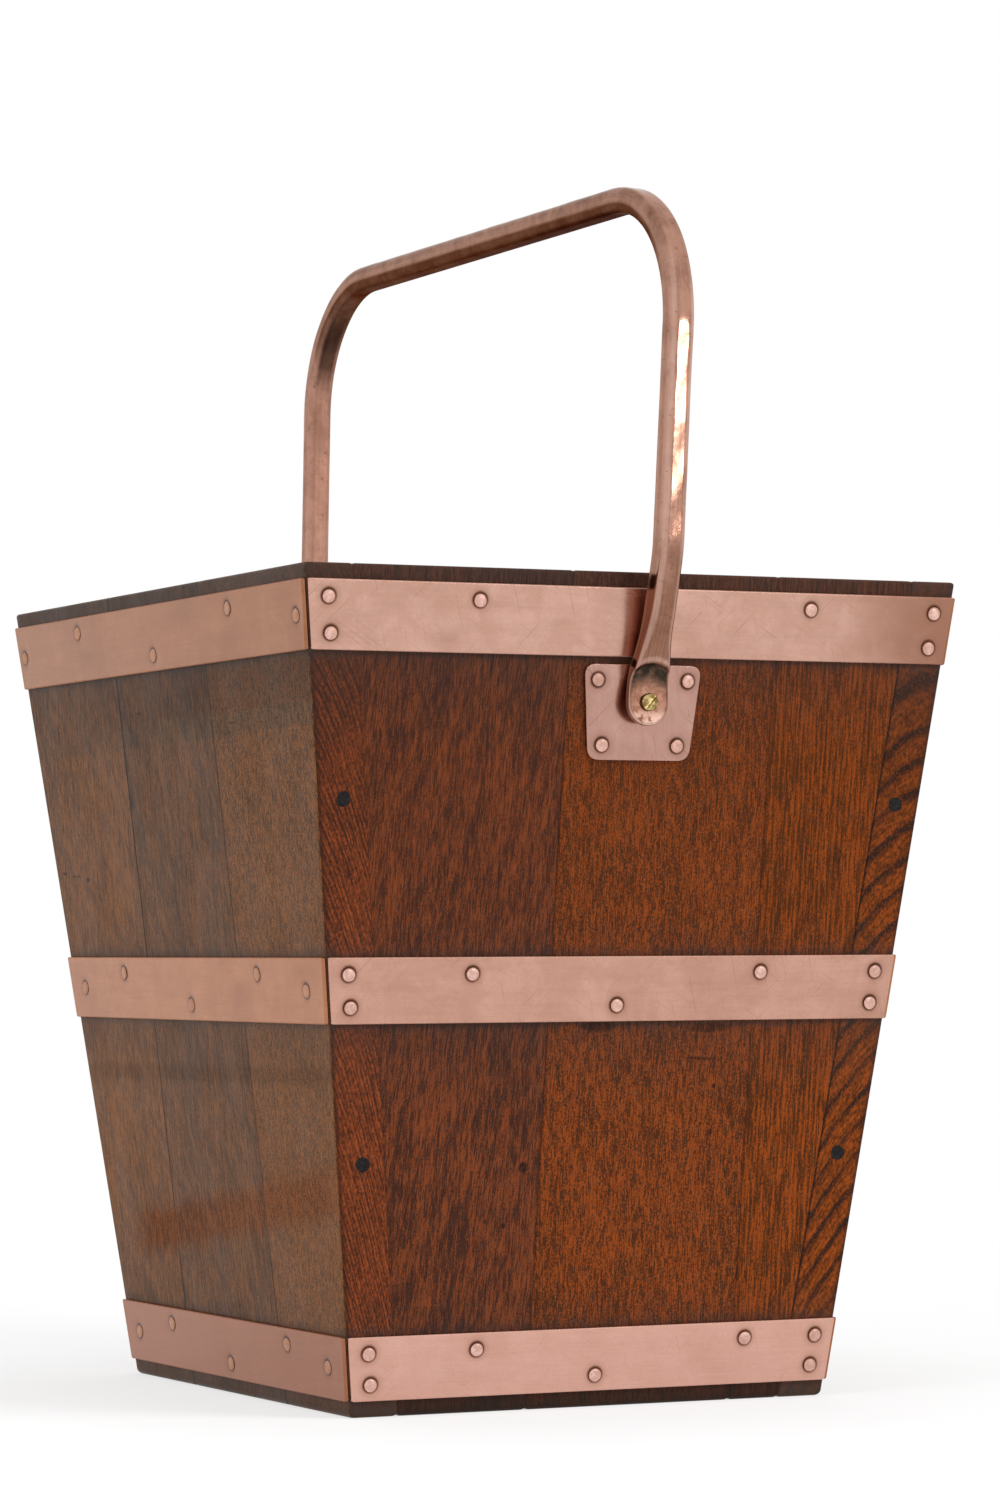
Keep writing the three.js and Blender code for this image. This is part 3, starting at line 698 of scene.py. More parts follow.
# How each shown board looks. Across and along give the grain's fineness, depth its contrast, and flake, grit,
# bold and rings the strength of those layers; slant and lean are angles; seams pair a place in mm with a
# strength.
PLAIN_LOOK = {"grit": 1.0, "bold": 0.35, "slant": 0.75, "lean": 0.0, "rings": 0.0}
BOARD_LOOKS = {
    "front_board_left": {
        "tone": (0.9, 0.96, 1.15), "across": 1500, "along": 120, "depth": 3.2, "flake": 0.36,
        "grit": 1.9, "bold": 0.5, "slant": -0.35, "lean": -0.05, "seams": ((-34, 0.35),),
    },
    "front_board_middle": {
        "tone": (1.2, 1.1, 0.74), "across": 1500, "along": 150, "depth": 3.2, "flake": 0.26,
        "grit": 3.3, "slant": 0.35, "seams": ((-34, 0.35), (73, 0.3)),
    },
    "front_board_right": {
        "tone": (1.26, 1.1, 0.52), "across": 1500, "along": 85, "depth": 3.3, "flake": 0.3,
        "grit": 2.5, "slant": -0.3, "rings": 0.4, "seams": ((73, 0.3),),
    },
    "left_board_back": {
        "tone": (1.1, 1.08, 1.06), "across": 1700, "along": 130, "depth": 2.8, "flake": 0.3,
        "grit": 1.8, "seams": ((56.5, 0.95),),
    },
    "left_board_middle": {
        "tone": (0.9, 0.93, 1.03), "across": 1500, "along": 110, "depth": 2.7, "flake": 0.32,
        "grit": 2.0, "seams": ((56.5, 0.95), (-60, 0.6)),
    },
    "left_board_front": {
        "tone": (1.12, 1.05, 0.9), "across": 1500, "along": 220, "depth": 4.2, "flake": 0.26,
        "grit": 4.6, "seams": ((-60, 0.6),),
    },
}

# Bands of painted reflection on the left wall, which also take its gloss away, in mm: lowest and highest
# height, tilt, softness, colour, strength at the front and at the back, and ends in y
LEFT_REFLECTION_BANDS = (
    (313.5, 324.0, 0.015, 1.0, srgb(74, 66, 56), (0.4, 0.15), (-200, 200)),
    (324.0, 360.0, 0.015, 1.5, srgb(52, 36, 28), (0.3, 0.1), (-200, 200)),
    (75.0, 97.0, 0.12, 6.0, srgb(103, 61, 38), (0.75, 0.9), (-150, 108)),
    (151.0, 159.0, 0.01, 2.5, srgb(58, 42, 32), (0.3, 0.3), (-200, 200)),
)

# Knots, nicks and dark dots, in mm: centre, radii, turn and strength
BOARD_MARKS = {
    "front_board_left": (
        ((-42.7, -151.6, 113.3), (3.2, 9, 3.4), 0, 0.95),
        ((-51.2, -146.3, 86.4), (1.6, 9, 1.8), 0, 0.9),
        ((-60.2, -148.1, 88.6), (1.4, 9, 1.6), 0, 0.6),
    ),
    "front_board_middle": (
        ((46.5, -158.6, 162.6), (11, 9, 0.9), -0.05, 0.8),
        ((54.6, -156.8, 149.5), (1.5, 9, 1.5), 0, 0.95),
        ((53.9, -153.7, 127.8), (2.4, 9, 2.2), 0, 0.7),
        ((-8.0, -161.2, 178.0), (12, 9, 3.5), 0, 0.7),
        ((50.0, -160.8, 177.0), (16, 9, 3.0), 0, 0.6),
    ),
    "front_board_right": (
        ((113.2, -170.7, 258.0), (4.5, 9, 6), 0, 0.5),
        ((98.1, -166.5, 228.2), (4.5, 9, 6), 0, 0.45),
    ),
    "left_board_back": (
        ((-152.6, 158.6, 253.3), (9, 4, 1.2), 0, 0.9),
        ((-152.4, 142.0, 251.6), (9, 7, 1.0), 0, 0.7),
        ((-152.2, 126.5, 249.8), (9, 3, 1.6), 0, 0.9),
    ),
    "left_board_middle": (
        ((-161.5, 33.0, 329.4), (9, 7, 0.9), 0, 0.7),
        ((-156.6, 54.6, 287.6), (9, 1.8, 4.5), 0, 0.85),
    ),
    "left_board_front": (((-160.4, -83.3, 320.0), (9, 6, 0.9), 0, 0.6),),
}

# How each side board's edge looks: rings a spacing apart that climb by a rise and a bend, how they wander,
# their faintest and full strength, how much wider apart the upper ones are, a dark seam, and the profile of
# one ring
RING_TEETH = 3.0 * MM
WIDER_RINGS = 300 * MM
EDGE_LOOKS = {
    "left": {
        "tone": (1.0, 1.0, 1.0), "seed": 3, "spacing": 10 * MM, "rise": -2.1, "bend": -18.0,
        "wander": 9 * MM, "faint": 0.5, "strength": 1.0, "widen": 0.0, "seam": 0.0,
        "profile": (
            (0.0, 0.0), (0.08, 0.2), (0.2, 1.0), (0.34, 0.7),
            (0.42, 0.05), (0.55, 0.1), (0.64, 1.0), (0.8, 0.0),
        ),
    },
    "right": {
        "tone": (1.04, 0.98, 0.42), "seed": 8, "spacing": 14.5 * MM, "rise": 1.25, "bend": -14.0,
        "wander": 11 * MM, "faint": 0.6, "strength": 1.2, "widen": 0.5, "seam": 0.85,
        "profile": (
            (0.0, 0.0), (0.3, 0.1), (0.44, 0.8), (0.52, 1.0), (0.62, 1.0), (0.7, 0.25), (0.85, 0.0),
        ),
    },
}


def board_material(side, place, name):
    """The oak of one board, each with its own run of grain. The back follows the front and the right the
    left."""
    seed = 1 + list(WALL_TURNS).index(side) * 3 + place
    shown = name.replace("back_", "front_", 1).replace("right_", "left_", 1)
    look = {**PLAIN_LOOK, **BOARD_LOOKS[shown]}
    if name != shown:
        look["seams"] = [(-place, strength) for place, strength in look["seams"]]
    reflection_bands = LEFT_REFLECTION_BANDS if side == "left" else ()
    return oak(f"oak_{name}", seed, side, look, reflection_bands, BOARD_MARKS.get(name, ()))


def edge_oak(side):
    """The edge of a side board, where the growth rings run out across it: slanting dark rings a spacing
    apart up the edge, broken up by dots, over fine strands. A ring's height changes with the distance across
    by rise and by bend times that distance. High up the rings may lie further apart, and a dark seam may
    follow the inner side."""
    look = EDGE_LOOKS[side]
    finish = Finish(f"oak_edge_{side}")
    x, y, z = finish.parts(finish.position)
    middle = half_width(200 * MM)
    across = finish.minus(x, -middle if side == "left" else middle - 23 * MM)
    shift = tuple(look["seed"] * step for step in (2.9, 4.3, 1.7))
    drift = finish.noise((34, 34, 20), shift, Detail=3, Roughness=0.6)
    ragged = finish.noise(420, shift, Detail=3, Roughness=0.7)
    climb = finish.times(across, finish.line(across, look["bend"], look["rise"]))
    level = finish.line(drift, look["wander"], finish.minus(z, climb))
    above = finish.math("MAXIMUM", finish.minus(level, WIDER_RINGS), 0.0)
    level = finish.minus(level, finish.times(above, look["widen"]))
    toothed = finish.line(ragged, RING_TEETH, level)
    phase = finish.math("FRACT", finish.math("DIVIDE", toothed, look["spacing"]))
    pick = finish.noise((48, 48, 26), shift, Detail=3)
    dots = finish.noise((1300, 1300, 1000), shift, Detail=1)
    late = finish.times(
        finish.ramp(phase, *look["profile"]),
        finish.spread(pick, 0.34, 0.6, look["faint"], 1.0),
        finish.spread(dots, 0.36, 0.56, 0.5, 1.0),
    )
    strands = finish.noise((190, 190, 560), vector=finish.vector(across, y, level), Roughness=0.6)
    fleck = finish.noise((900, 900, 500), shift, Roughness=0.6)
    grain = finish.line(strands, 1.8, finish.line(fleck, 2.4, -1.6))
    dark = colour_of("edge_dark")
    tint = scaled(colour_of("edge_light"), *look["tone"])
    stops = ((0.0, scaled(tint, 0.4, 0.45, 0.6)), (0.5, tint), (1.0, scaled(tint, 1.8, 1.6, 1.3)))
    wood = finish.ramp(grain, *stops)
    wood = finish.mix(finish.math("MULTIPLY", late, look["strength"], clamp=True), wood, dark)
    # Painted shade: the edge darkens towards the top.
    wood = finish.coat(wood, dark, z, 180 * MM, 345 * MM, 0.4)
    outer = finish.minus(finish.line(z, slope("left"), half_width(0.0)), finish.math("ABSOLUTE", x))
    wood = finish.coat(wood, dark, outer, 3.5 * MM, 0.5 * MM, 0.65)
    if look["seam"]:
        inside = finish.minus(sizes().side_thickness, outer)
        inside = finish.line(ragged, 2.4 * MM, finish.minus(inside, 1.2 * MM))
        wood = finish.coat(wood, SEAM_DARK, inside, 1.4 * MM, 0.5 * MM, look["seam"])
    # Dark line along each strip: grime with painted shade.
    wood = finish.mix(shade_and_grime_mask(finish, z), wood, colour_of("grime_and_shade"))
    relief = finish.minus(strands, finish.times(late, 0.5))
    return finish.surface(
        Base_Color=wood,
        Roughness=finish.spread(late, 0.0, 1.0, 0.38, 0.5),
        Normal=finish.bump(relief, 0.1 * MM, 0.5),
        Specular_IOR_Level=OAK_GLOSS,
    )


def base_oak(name, seed):
    """Dull oak of the base, its grain running from front to back."""
    finish = Finish(name)
    tinting = colour_of("side_oak")
    streak = finish.noise((240, 5, 240), (seed, 0, 0), Detail=3, Roughness=0.6)
    dust = finish.noise(40, Detail=4, Roughness=0.6)
    stops = ((0.0, scaled(tinting, 0.25, 0.3, 0.4)), (0.5, scaled(tinting, 0.5, 0.5, 0.5)), (1.0, tinting))
    wood = finish.ramp(finish.spread(streak, 0.3, 0.7), *stops)
    return finish.surface(
        Base_Color=finish.coat(wood, colour_of("grime_and_shade"), dust, 0.4, 0.75, 0.7),
        Roughness=finish.spread(dust, 0.3, 0.7, 0.6, 0.8),
        Normal=finish.bump(streak, 0.2 * MM, 0.5),
        Specular_IOR_Level=0.2,
    )


# Copper


def scratches(finish, flat, seed):
    """Sparse fine scratches: long thin streaks of noise at a few headings, of which only the peaks are
    kept."""
    found = 0.0
    for number, heading in enumerate((0.55, -0.8, 1.3)):
        shift = (seed + number * 2.3, seed * 1.7, 0)
        streaks = finish.noise((28, 1500, 1), shift, (0, 0, heading), flat, Detail=1)
        found = finish.math("MAXIMUM", found, finish.spread(streaks, 0.67, 0.75))
    return found


def rolled_copper(name, seed, tint, run=0.0, end_shade=0.0, upright=False, scratched=0.35, calm=1.0, width=0.0):
    """Rubbed copper sheet. The attribute place holds metres along, metres up and metres from the nearest
    nail. Fine brushing along it or upright, faint clouds and scratches, painted shade round each nail as a
    dark ring and a soft shade, and painted shade towards the strip's far end, where end_shade and half of its
    run are given. With a width, its long edges are duller."""
    finish = Finish(name)
    along, up, nail = finish.place()
    head = sizes().nail_head / 2
    deep = scaled(tint, 0.5, 0.38, 0.3)
    pale = scaled(tint, 1.22, 1.3, 1.36)
    shift = (seed * 1.9, seed * 3.1, seed * 0.7)
    flat = finish.vector(along, up, 0.0)
    brushed = (0, 0, 1.45 if upright else 0.0)
    strokes = finish.noise((30, 1500, 1), shift, brushed, flat, Detail=3, Roughness=0.65)
    wipes = finish.noise((26, 150, 1), shift, brushed, flat, Detail=3, Roughness=0.6)
    cloud = finish.noise(60, shift, Detail=6, Roughness=0.66, Distortion=0.3)
    patch = finish.noise((16, 16, 24), shift)
    grit = finish.noise(700, shift, Roughness=0.6)
    fine_marks = scratches(finish, flat, seed)
    metal = finish.coat(tint, pale, cloud, 0.4, 0.66, 0.45 * calm)
    metal = finish.coat(metal, deep, patch, 0.46, 0.74, 0.24 * calm)
    metal = finish.coat(metal, deep, wipes, 0.42, 0.7, 0.12 * calm)
    metal = finish.coat(metal, deep, strokes, 0.35, 0.75, 0.09)
    metal = finish.coat(metal, deep, grit, 0.5, 0.8, 0.12)
    metal = finish.mix(finish.times(fine_marks, scratched * calm), metal, deep)
    # Painted shade towards the strip's far end.
    if end_shade:
        metal = finish.coat(metal, deep, along, 0.55 * run, run, end_shade)
    # Painted shade round each nail: a soft shade, and a dark ring in the crease at its head.
    metal = finish.coat(metal, deep, nail, head + 4.5 * MM, head, 0.34)
    metal = finish.coat(metal, scaled(deep, 0.3, 0.25, 0.22), nail, head + 1.6 * MM, head + 0.1 * MM)
    roughness = finish.spread(strokes, 0.3, 0.8, 0.17, 0.24)
    roughness = finish.math("ADD", roughness, finish.spread(cloud, 0.35, 0.7, 0.0, 0.07))
    if width:
        half = width / 2
        from_middle = finish.math("ABSOLUTE", finish.minus(up, half))
        dull_edge = finish.spread(from_middle, half - 0.8 * MM, half - 0.3 * MM, 0.0, 0.3)
        roughness = finish.math("ADD", roughness, dull_edge)
    relief = finish.math("ADD", finish.times(strokes, 0.3), finish.times(patch, 0.6))
    relief = finish.minus(relief, finish.times(fine_marks, 0.4))
    return finish.surface(
        Base_Color=metal, Metallic=1.0, Roughness=roughness, Normal=finish.bump(relief, 0.04 * MM, 0.14)
    )


def nail_copper(name, tint):
    """Rubbed copper of the nail heads: pale crowns with light spots and darker hollows."""
    finish = Finish(name)
    cloud = finish.noise(520, Detail=3, Roughness=0.6)
    metal = finish.coat(tint, scaled(tint, 1.25, 1.38, 1.5), cloud, 0.42, 0.66)
    metal = finish.coat(metal, scaled(tint, 0.6, 0.5, 0.42), finish.noise(45, Detail=1), 0.45, 0.75, 0.4)
    return finish.surface(
        Base_Color=metal,
        Metallic=1.0,
        Roughness=finish.spread(cloud, 0.3, 0.7, 0.28, 0.42),
        Normal=finish.bump(cloud, 0.12 * MM, 0.5),
    )


# Heights over which the handle's top begins
HANDLE_TOP = (515 * MM, 552 * MM)

# Spots on the handle, in mm: centre, radii, turn, colour and strength
HANDLE_MARKS = (
    ((9.0, 212.0, 482.0), (4.5, 9, 1.5), 0.5, "copper_pale", 0.7),
    ((9.0, 196.0, 384.0), (4.0, 9, 3.0), 0.0, "copper_deep", 0.8),
)


def handle_coats(finish, flat, face, height, streak, fleck, under, blade, recess):
    """The tones laid over the handle's copper one after the other, each with how strongly it shows: clouds,
    wiped patches and streaks; its duller lower legs; a painted highlight on the ridges and painted shade on
    the sides;
    painted shade on the underside and dark edges at the top; painted light on the inner face of the legs; the
    hammered ends; two spots; and tarnish in the recess, with painted shade under its arch."""
    spread, times, noise, between = finish.spread, finish.times, finish.noise, finish.between
    copper, deep, pale = colour_of("handle"), colour_of("handle_deep"), colour_of("copper_pale")
    dark = scaled(deep, 0.4, 0.38, 0.36)
    wipe = noise((22, 170, 1), (3, 5, 0), vector=flat, Detail=3, Roughness=0.6)
    cloud = noise((70, 70, 60), Detail=5, Roughness=0.65)
    hammered = noise(330, (1, 2, 3), Detail=3, Roughness=0.6)
    patched = spread(noise(90, (7, 1, 4), Detail=4, Roughness=0.65), 0.4, 0.62, 0.45, 1.0)
    low = spread(height, 410 * MM, 365 * MM)
    top = spread(height, *HANDLE_TOP)
    inner = spread(face, -1.6, -1.95)
    edges = finish.math("MAXIMUM", between(face, -1.15, -0.45, 0.25), inner)
    ridge = times(between(face, -0.85, -0.22, 0.2), spread(top, 0.0, 1.0, 0.5, 0.0))
    beaten = finish.coat(scaled(deep, 0.72, 0.74, 0.7), scaled(copper, 0.64, 0.62, 0.6), hammered, 0.3, 0.7)
    return (
        (spread(cloud, 0.4, 0.66, 0.0, 0.6), deep),
        (spread(wipe, 0.46, 0.7, 0.0, 0.4), deep),
        (spread(streak, 0.5, 0.75, 0.0, 0.2), pale),
        (times(low, 0.65), scaled(deep, 1.04, 1.04, 1.02)),
        (times(spread(streak, 0.46, 0.6), low, 0.3), dark),
        # Painted highlight along the ridges of the legs and the lip of each recess.
        (times(ridge, spread(wipe, 0.3, 0.6, 1.0, 0.55)), pale),
        # Painted shade on the sides, towards the inner face.
        (times(between(face, -1.75, -1.1, 0.22), 0.35), deep),
        # Painted shade on the underside of the top.
        (times(under, 0.6), dark),
        (times(top, 0.1), deep),
        # Painted light on the inner face of the legs.
        (times(inner, spread(height, 500 * MM, 470 * MM), 0.45), scaled(copper, 1.16, 1.14, 1.16)),
        # Dark edges at the top, with painted shade on the inner face there.
        (times(edges, top, patched, 0.55), dark),
        (spread(fleck, 0.58, 0.74, 0.0, 0.4), dark),
        (times(blade, spread(face, -0.6, -0.1, 0.0, 0.75)), beaten),
        (times(spread(height, 326 * MM, 318 * MM, 0.0, 0.6), spread(hammered, 0.3, 0.5)), pale),
        *(
            (times(finish.spot(centre, radii, tilt), strength), colour_of(tone))
            for centre, radii, tilt, tone, strength in HANDLE_MARKS
        ),
        (recess, colour_of("verdigris")),
    )


def drawn_copper(name):
    """Copper of the handle. Fine streaks run along it; its outer face stays bright, its ridges carry a
    painted highlight, and its sides painted shade that deepens towards the inner face; hands dull the top,
    whose underside carries painted shade and whose edges are dark; the inner face of the legs is lightened as
    painted light; and green black tarnish fills the recess of its ends, deepened under the arch as painted
    shade.
    The attribute place holds metres along the bow, metres across it, and a face value: from 0 to 1 in the
    recess, 0 on the outer face, -1 where its rounded ridges meet the sides, and -2 on the inner face."""
    finish = Finish(name)
    run, across, face = finish.place()
    height = finish.parts(finish.position)[2]
    flat = finish.vector(run, across, 0.0)
    streak = finish.noise((14, 900, 1), vector=flat, Detail=3, Roughness=0.6)
    fleck = finish.noise(420, Detail=3, Roughness=0.6)
    patchy = finish.spread(finish.noise(240, Detail=4, Roughness=0.65), 0.3, 0.6, 0.45, 1.0)
    # Green black tarnish in the recess, with painted shade darkest just below the arch.
    recess = finish.times(finish.spread(face, 0.02, 1.0), patchy)
    # Where painted shade falls on the underside of the top: its inner face.
    under = finish.times(finish.spread(face, -1.5, -1.95), finish.spread(height, *HANDLE_TOP))
    blade = finish.spread(height, 346 * MM, 336 * MM)
    metal = colour_of("handle")
    for shown, tone in handle_coats(finish, flat, face, height, streak, fleck, under, blade, recess):
        metal = finish.mix(shown, metal, tone)
    roughness = finish.line(recess, 0.25, finish.spread(fleck, 0.35, 0.75, 0.12, 0.18))
    roughness = finish.math("ADD", roughness, finish.spread(face, -1.5, -2.0, 0.0, 0.3))
    hammer = finish.times(finish.noise((110, 110, 80)), finish.spread(height, 350 * MM, 390 * MM))
    normal = finish.bump(hammer, 0.3 * MM, 0.4)
    return finish.surface(
        Base_Color=metal,
        Metallic=1.0,
        Roughness=finish.line(blade, 0.16, roughness),
        # The painted shade on the underside of the top also dulls its reflection.
        Specular_Tint=finish.mix(under, (0.85, 0.8, 0.77), (0.35, 0.27, 0.23)),
        Normal=finish.bump(streak, 0.03 * MM, 0.4, Normal=normal),
    )


# Nails and strips

NAIL_SHANK = (0.96, -0.5 * MM)
NAIL_HEAD = ((1, 0.25), (0.985, 0.5), (0.93, 0.72), (0.82, 0.88), (0.6, 0.96), (0.3, 1), (0, 1))
NAIL_TILT = 0.035
DIMPLE_REACH = 4.6 * MM


def nail_grid(side, along, height, under, crown, seed):
    """A nail's head on a wall: a disc with a soft shoulder and a low crown, a little out of round and out
    of square. Its profile is given in shares of the radius and of the way up to the crown."""
    radius = sizes().nail_head / 2
    profile = [(radius * NAIL_SHANK[0], under + NAIL_SHANK[1])]
    profile += [(radius * out, under + up * (crown - under)) for out, up in NAIL_HEAD]
    grid = lathe(profile, 28, 0.018, seed)
    tilt = np.random.default_rng(seed).uniform(-NAIL_TILT, NAIL_TILT, 2)
    grid[..., 2] += (grid[..., 0] * tilt[0] + grid[..., 1] * tilt[1]) - NAIL_TILT * radius * 1.4
    return framed(grid, wall_frame(side, along, height))


def nearest(x, y, places):
    """Distance of each point from the nearest of the places."""
    return np.min([np.hypot(x - a, y - b) for a, b in places], axis=0)


def dimple(away):
    """How deep the copper is driven in at a distance from a nail, as a share: a bell curve."""
    return np.exp(-((away / DIMPLE_REACH) ** 2))


STRIP_END = 0.4 * MM
STRIP_EDGE = 0.5 * MM
STRIP_CORNER = 1.1 * MM
STRIP_STEP = 1.15 * MM
STRIP_WAVE = 0.05 * MM
BACK_OF_STRIP = np.array([0.999, 0.66, 0.33, 0.001])


def strip_grid(side, band, seed):
    """A strip: its section's loop, outer face, top edge, back and lower edge, carried along the wall.
    The outer face falls back to a rounded edge all round, dips round each nail and waves very slightly."""
    size = sizes()
    run = span(side, band["low"] + band["width"])
    share = crowded(int(2 * run / STRIP_STEP), 1.35) * 2 - 1
    across = crowded(38, 1.7)
    s, t = np.meshgrid(share, np.concatenate([across, BACK_OF_STRIP]), indexing="ij")
    face = np.arange(t.shape[1]) < across.size
    end_distance = (1 - np.abs(s)) * run
    corner = quarter_round(end_distance, STRIP_CORNER)
    height = band["low"] + corner + (band["width"] - 2 * corner) * t
    along = s * (span(side, height) - STRIP_END)
    nail = nearest(along, height, strip_nails(side, band))
    distance = np.minimum(end_distance, np.minimum(t, 1 - t) * band["width"])
    out = size.seat_gap + size.strip_thickness - quarter_round(distance, STRIP_EDGE)
    out = out - size.nail_dimple * dimple(nail)
    waves = soft_waves(along, height, seed, 22 * MM, 110 * MM)
    out = out - STRIP_WAVE * (waves + 1) * np.clip(distance / (4 * MM), 0, 1)
    out = np.where(face, out, size.seat_gap + 0.02 * MM)
    y = -reach(side, height) - out
    points = turned(np.stack([along, y, height], axis=-1), WALL_TURNS[side])
    return points, np.stack([along, height - band["low"], nail], axis=-1)


# Boards

HALF_JOINT = 0.15 * MM
SEEN_JOINT = 0.03 * MM
TONGUE = {"length": 17 * MM, "thickness": 8 * MM, "setback": 7 * MM, "gap": 0.4 * MM, "arris": 0.3 * MM}
JOINTS = {
    "front": (("left", "middle", "right"), (-34 * MM, 73 * MM)),
    "back": (("right", "middle", "left"), (-73 * MM, 34 * MM)),
    "right": (("front", "middle", "back"), (-60 * MM, 56.5 * MM)),
    "left": (("back", "middle", "front"), (-56.5 * MM, 60 * MM)),
}
BASE_ARRIS = 0.5 * MM
HANDS = ((-1, "left"), (1, "right"))


def worn_rows(low, high, foot_wear, rim_wear, steps, between=()):
    """Heights of a board's rows, and how far each is drawn in: a quarter circle at the foot and one at the
    rim."""
    bends = np.linspace(0, np.pi / 2, steps)
    opening, closing = 1 - np.cos(bends), 1 - np.sin(bends)
    heights = np.concatenate([low + foot_wear * opening, between, high - rim_wear * closing])
    insets = np.concatenate([foot_wear * closing, np.zeros(len(between)), rim_wear * opening])
    return heights, insets


def outline_rows(foot, rim, radii, heights, insets):
    """A board's plan outline at many heights. Its corners run straight from foot to rim, each is set in by
    the row's inset, and each is rounded by a curve that leaves and meets the sides at the corner's radius.
    Points close to the curves keep the flat sides flat. Corners run anticlockwise seen from above."""
    share = (heights / sizes().height)[:, None, None]
    corners = np.array(foot)[None] + (np.array(rim) - np.array(foot))[None] * share
    to_last, to_next = directions(corners, 1)
    cross = to_next[..., 0] * to_last[..., 1] - to_next[..., 1] * to_last[..., 0]
    corners = corners + (to_last + to_next) * np.sign(cross)[..., None] * insets[:, None, None]
    radius = np.array(radii)[None, :, None, None]
    hub = corners[:, :, None, :]
    start = hub + to_last[:, :, None, :] * radius
    end = hub + to_next[:, :, None, :] * radius
    rounded = corner_curve(start, hub, end, np.linspace(0, 1, 5)[None, None, :, None])
    following = np.roll(start, -1, axis=1)
    side = following - end
    near = np.minimum(0.3, 0.6 * MM / np.linalg.norm(side, axis=3, keepdims=True))
    held = [end + side * near, end + side * 0.5, following - side * near]
    plan = np.concatenate([rounded, *held], axis=2).reshape(len(heights), -1, 2)
    z = np.broadcast_to(heights[:, None, None], (*plan.shape[:2], 1))
    return np.concatenate([plan, z], axis=2)


def board_plan(side, place, z):
    """Plan corners of a wall's board at a height, anticlockwise seen from above, and the radius of each.
    An end board of the front and back has a tongue, and an end board of the sides a groove for it."""
    size = sizes()
    pivoted = side in PIVOTED
    joints = JOINTS[side][1]
    wall_end = half_width(z) - size.side_thickness - 2 * SEEN_JOINT if pivoted else half_depth(z)
    first = -wall_end if place == 0 else joints[place - 1] + SEEN_JOINT
    last = wall_end if place == 2 else joints[place] - SEEN_JOINT
    outer = -reach(side, z)
    inner = outer + (size.front_thickness if pivoted else size.side_thickness)
    corners = [(first, outer), (last, outer), (last, inner), (first, inner)]
    radii = [size.joint_arris] * 4
    if place == 1:
        return corners, radii
    hand = place - 1
    edge = first if hand < 0 else last
    root = TONGUE["setback"]
    tip = root + TONGUE["thickness"]
    if pivoted:
        far = edge + hand * (TONGUE["length"] - 2 * HALF_JOINT)
        cut = [(edge, outer + root), (far, outer + root), (far, outer + tip), (edge, outer + tip)]
        after = 3 - hand
    else:
        radii[max(hand, 0)] = size.arris
        depth = inner - TONGUE["length"] - TONGUE["gap"]
        near, far = edge - hand * (root - TONGUE["gap"]), edge - hand * (tip + TONGUE["gap"])
        cut = [(near, inner), (near, depth), (far, depth), (far, inner)]
        after = 3
    corners[after:after] = cut[::hand]
    radii[after:after] = [TONGUE["arris"]] * 4
    return corners, radii


def board_grid(side, place):
    """A board: its plan outline carried from the foot to the rim, drawn in at both ends to worn edges."""
    size = sizes()
    body = np.linspace(size.foot_wear + 0.6 * MM, size.height - size.rim_wear - 0.6 * MM, 32)
    rows = worn_rows(0.0, size.height, size.foot_wear, size.rim_wear, 6, body)
    foot, radii = board_plan(side, place, 0.0)
    rim, _ = board_plan(side, place, size.height)
    return turned(outline_rows(foot, rim, radii, *rows), WALL_TURNS[side])


def base_plan(hand, z):
    """Plan corners of a base board at a height, anticlockwise seen from above."""
    size = sizes()
    far = half_width(z) - size.side_thickness - 2 * HALF_JOINT
    end = half_depth(z) - size.front_thickness - 2 * HALF_JOINT
    x0, x1 = sorted((hand * HALF_JOINT, hand * far))
    return [(x0, -end), (x1, -end), (x1, end), (x0, end)]


def mark_edge(mesh, part):
    """Gives the second material to the faces of a side wall's end board that look to the front or the
    back."""
    sign = -1 if part == "front" else 1
    normals, centres = np.empty((2, len(mesh.polygons) * 3))
    mesh.polygons.foreach_get("normal", normals)
    mesh.polygons.foreach_get("center", centres)
    y, z = centres.reshape(-1, 3)[:, 1:].T
    faces = (normals.reshape(-1, 3)[:, 1] * sign > 0.8) & (y * sign > half_depth(z) - 3 * MM)
    mesh.polygons.foreach_set("material_index", faces.astype(np.int32))


class MakeBoards(bpy.types.Operator):
    """Build the twelve upright oak boards of the walls and the two boards of the base"""

    bl_idname = "coal_bucket.boards"
    bl_label = "Oak boards"

    def execute(self, context):
        edges = {side: edge_oak(side) for side in EDGE_LOOKS}
        for side, (names, _) in JOINTS.items():
            for place, part in enumerate(names):
                name = f"{side}_board_{part}"
                shape = Surface()
                shape.add(board_grid(side, place))
                materials = [board_material(side, place, name)]
                if side in edges and part != "middle":
                    materials.append(edges[side])
                piece = shape.build(f"{name}_oak", materials, weld=False)
                if len(materials) > 1:
                    mark_edge(piece.data, part)
                finish_piece(piece, "bucket", "oak_front" if side in PIVOTED else "oak_side", name)
        self.base()
        return {"FINISHED"}

    def base(self):
        low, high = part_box("base_board_left")
        rows = worn_rows(low.z, high.z, BASE_ARRIS, BASE_ARRIS, 4)
        for hand, part in HANDS:
            foot, rim = (base_plan(hand, z) for z in (0.0, sizes().height))
            shape = Surface()
            shape.add(outline_rows(foot, rim, [BASE_ARRIS] * 4, *rows))
            oak_finish = base_oak(f"oak_base_{part}", hand + 20)
            piece = shape.build(f"base_board_{part}_oak", [oak_finish], weld=False)
            finish_piece(piece, "bucket", "oak_base", f"base_board_{part}")


# Pegs

PEG = {"radius": 3.6 * MM, "inset": 12.8 * MM, "proud": 0.15 * MM, "length": 26 * MM}
PEG_LEVELS = {"upper": (282 * MM, 2), "lower": (116.5 * MM, 0)}
PEG_SEEDS = {"front_left": 19, "front_right": 22, "back_left": 20, "back_right": 19}


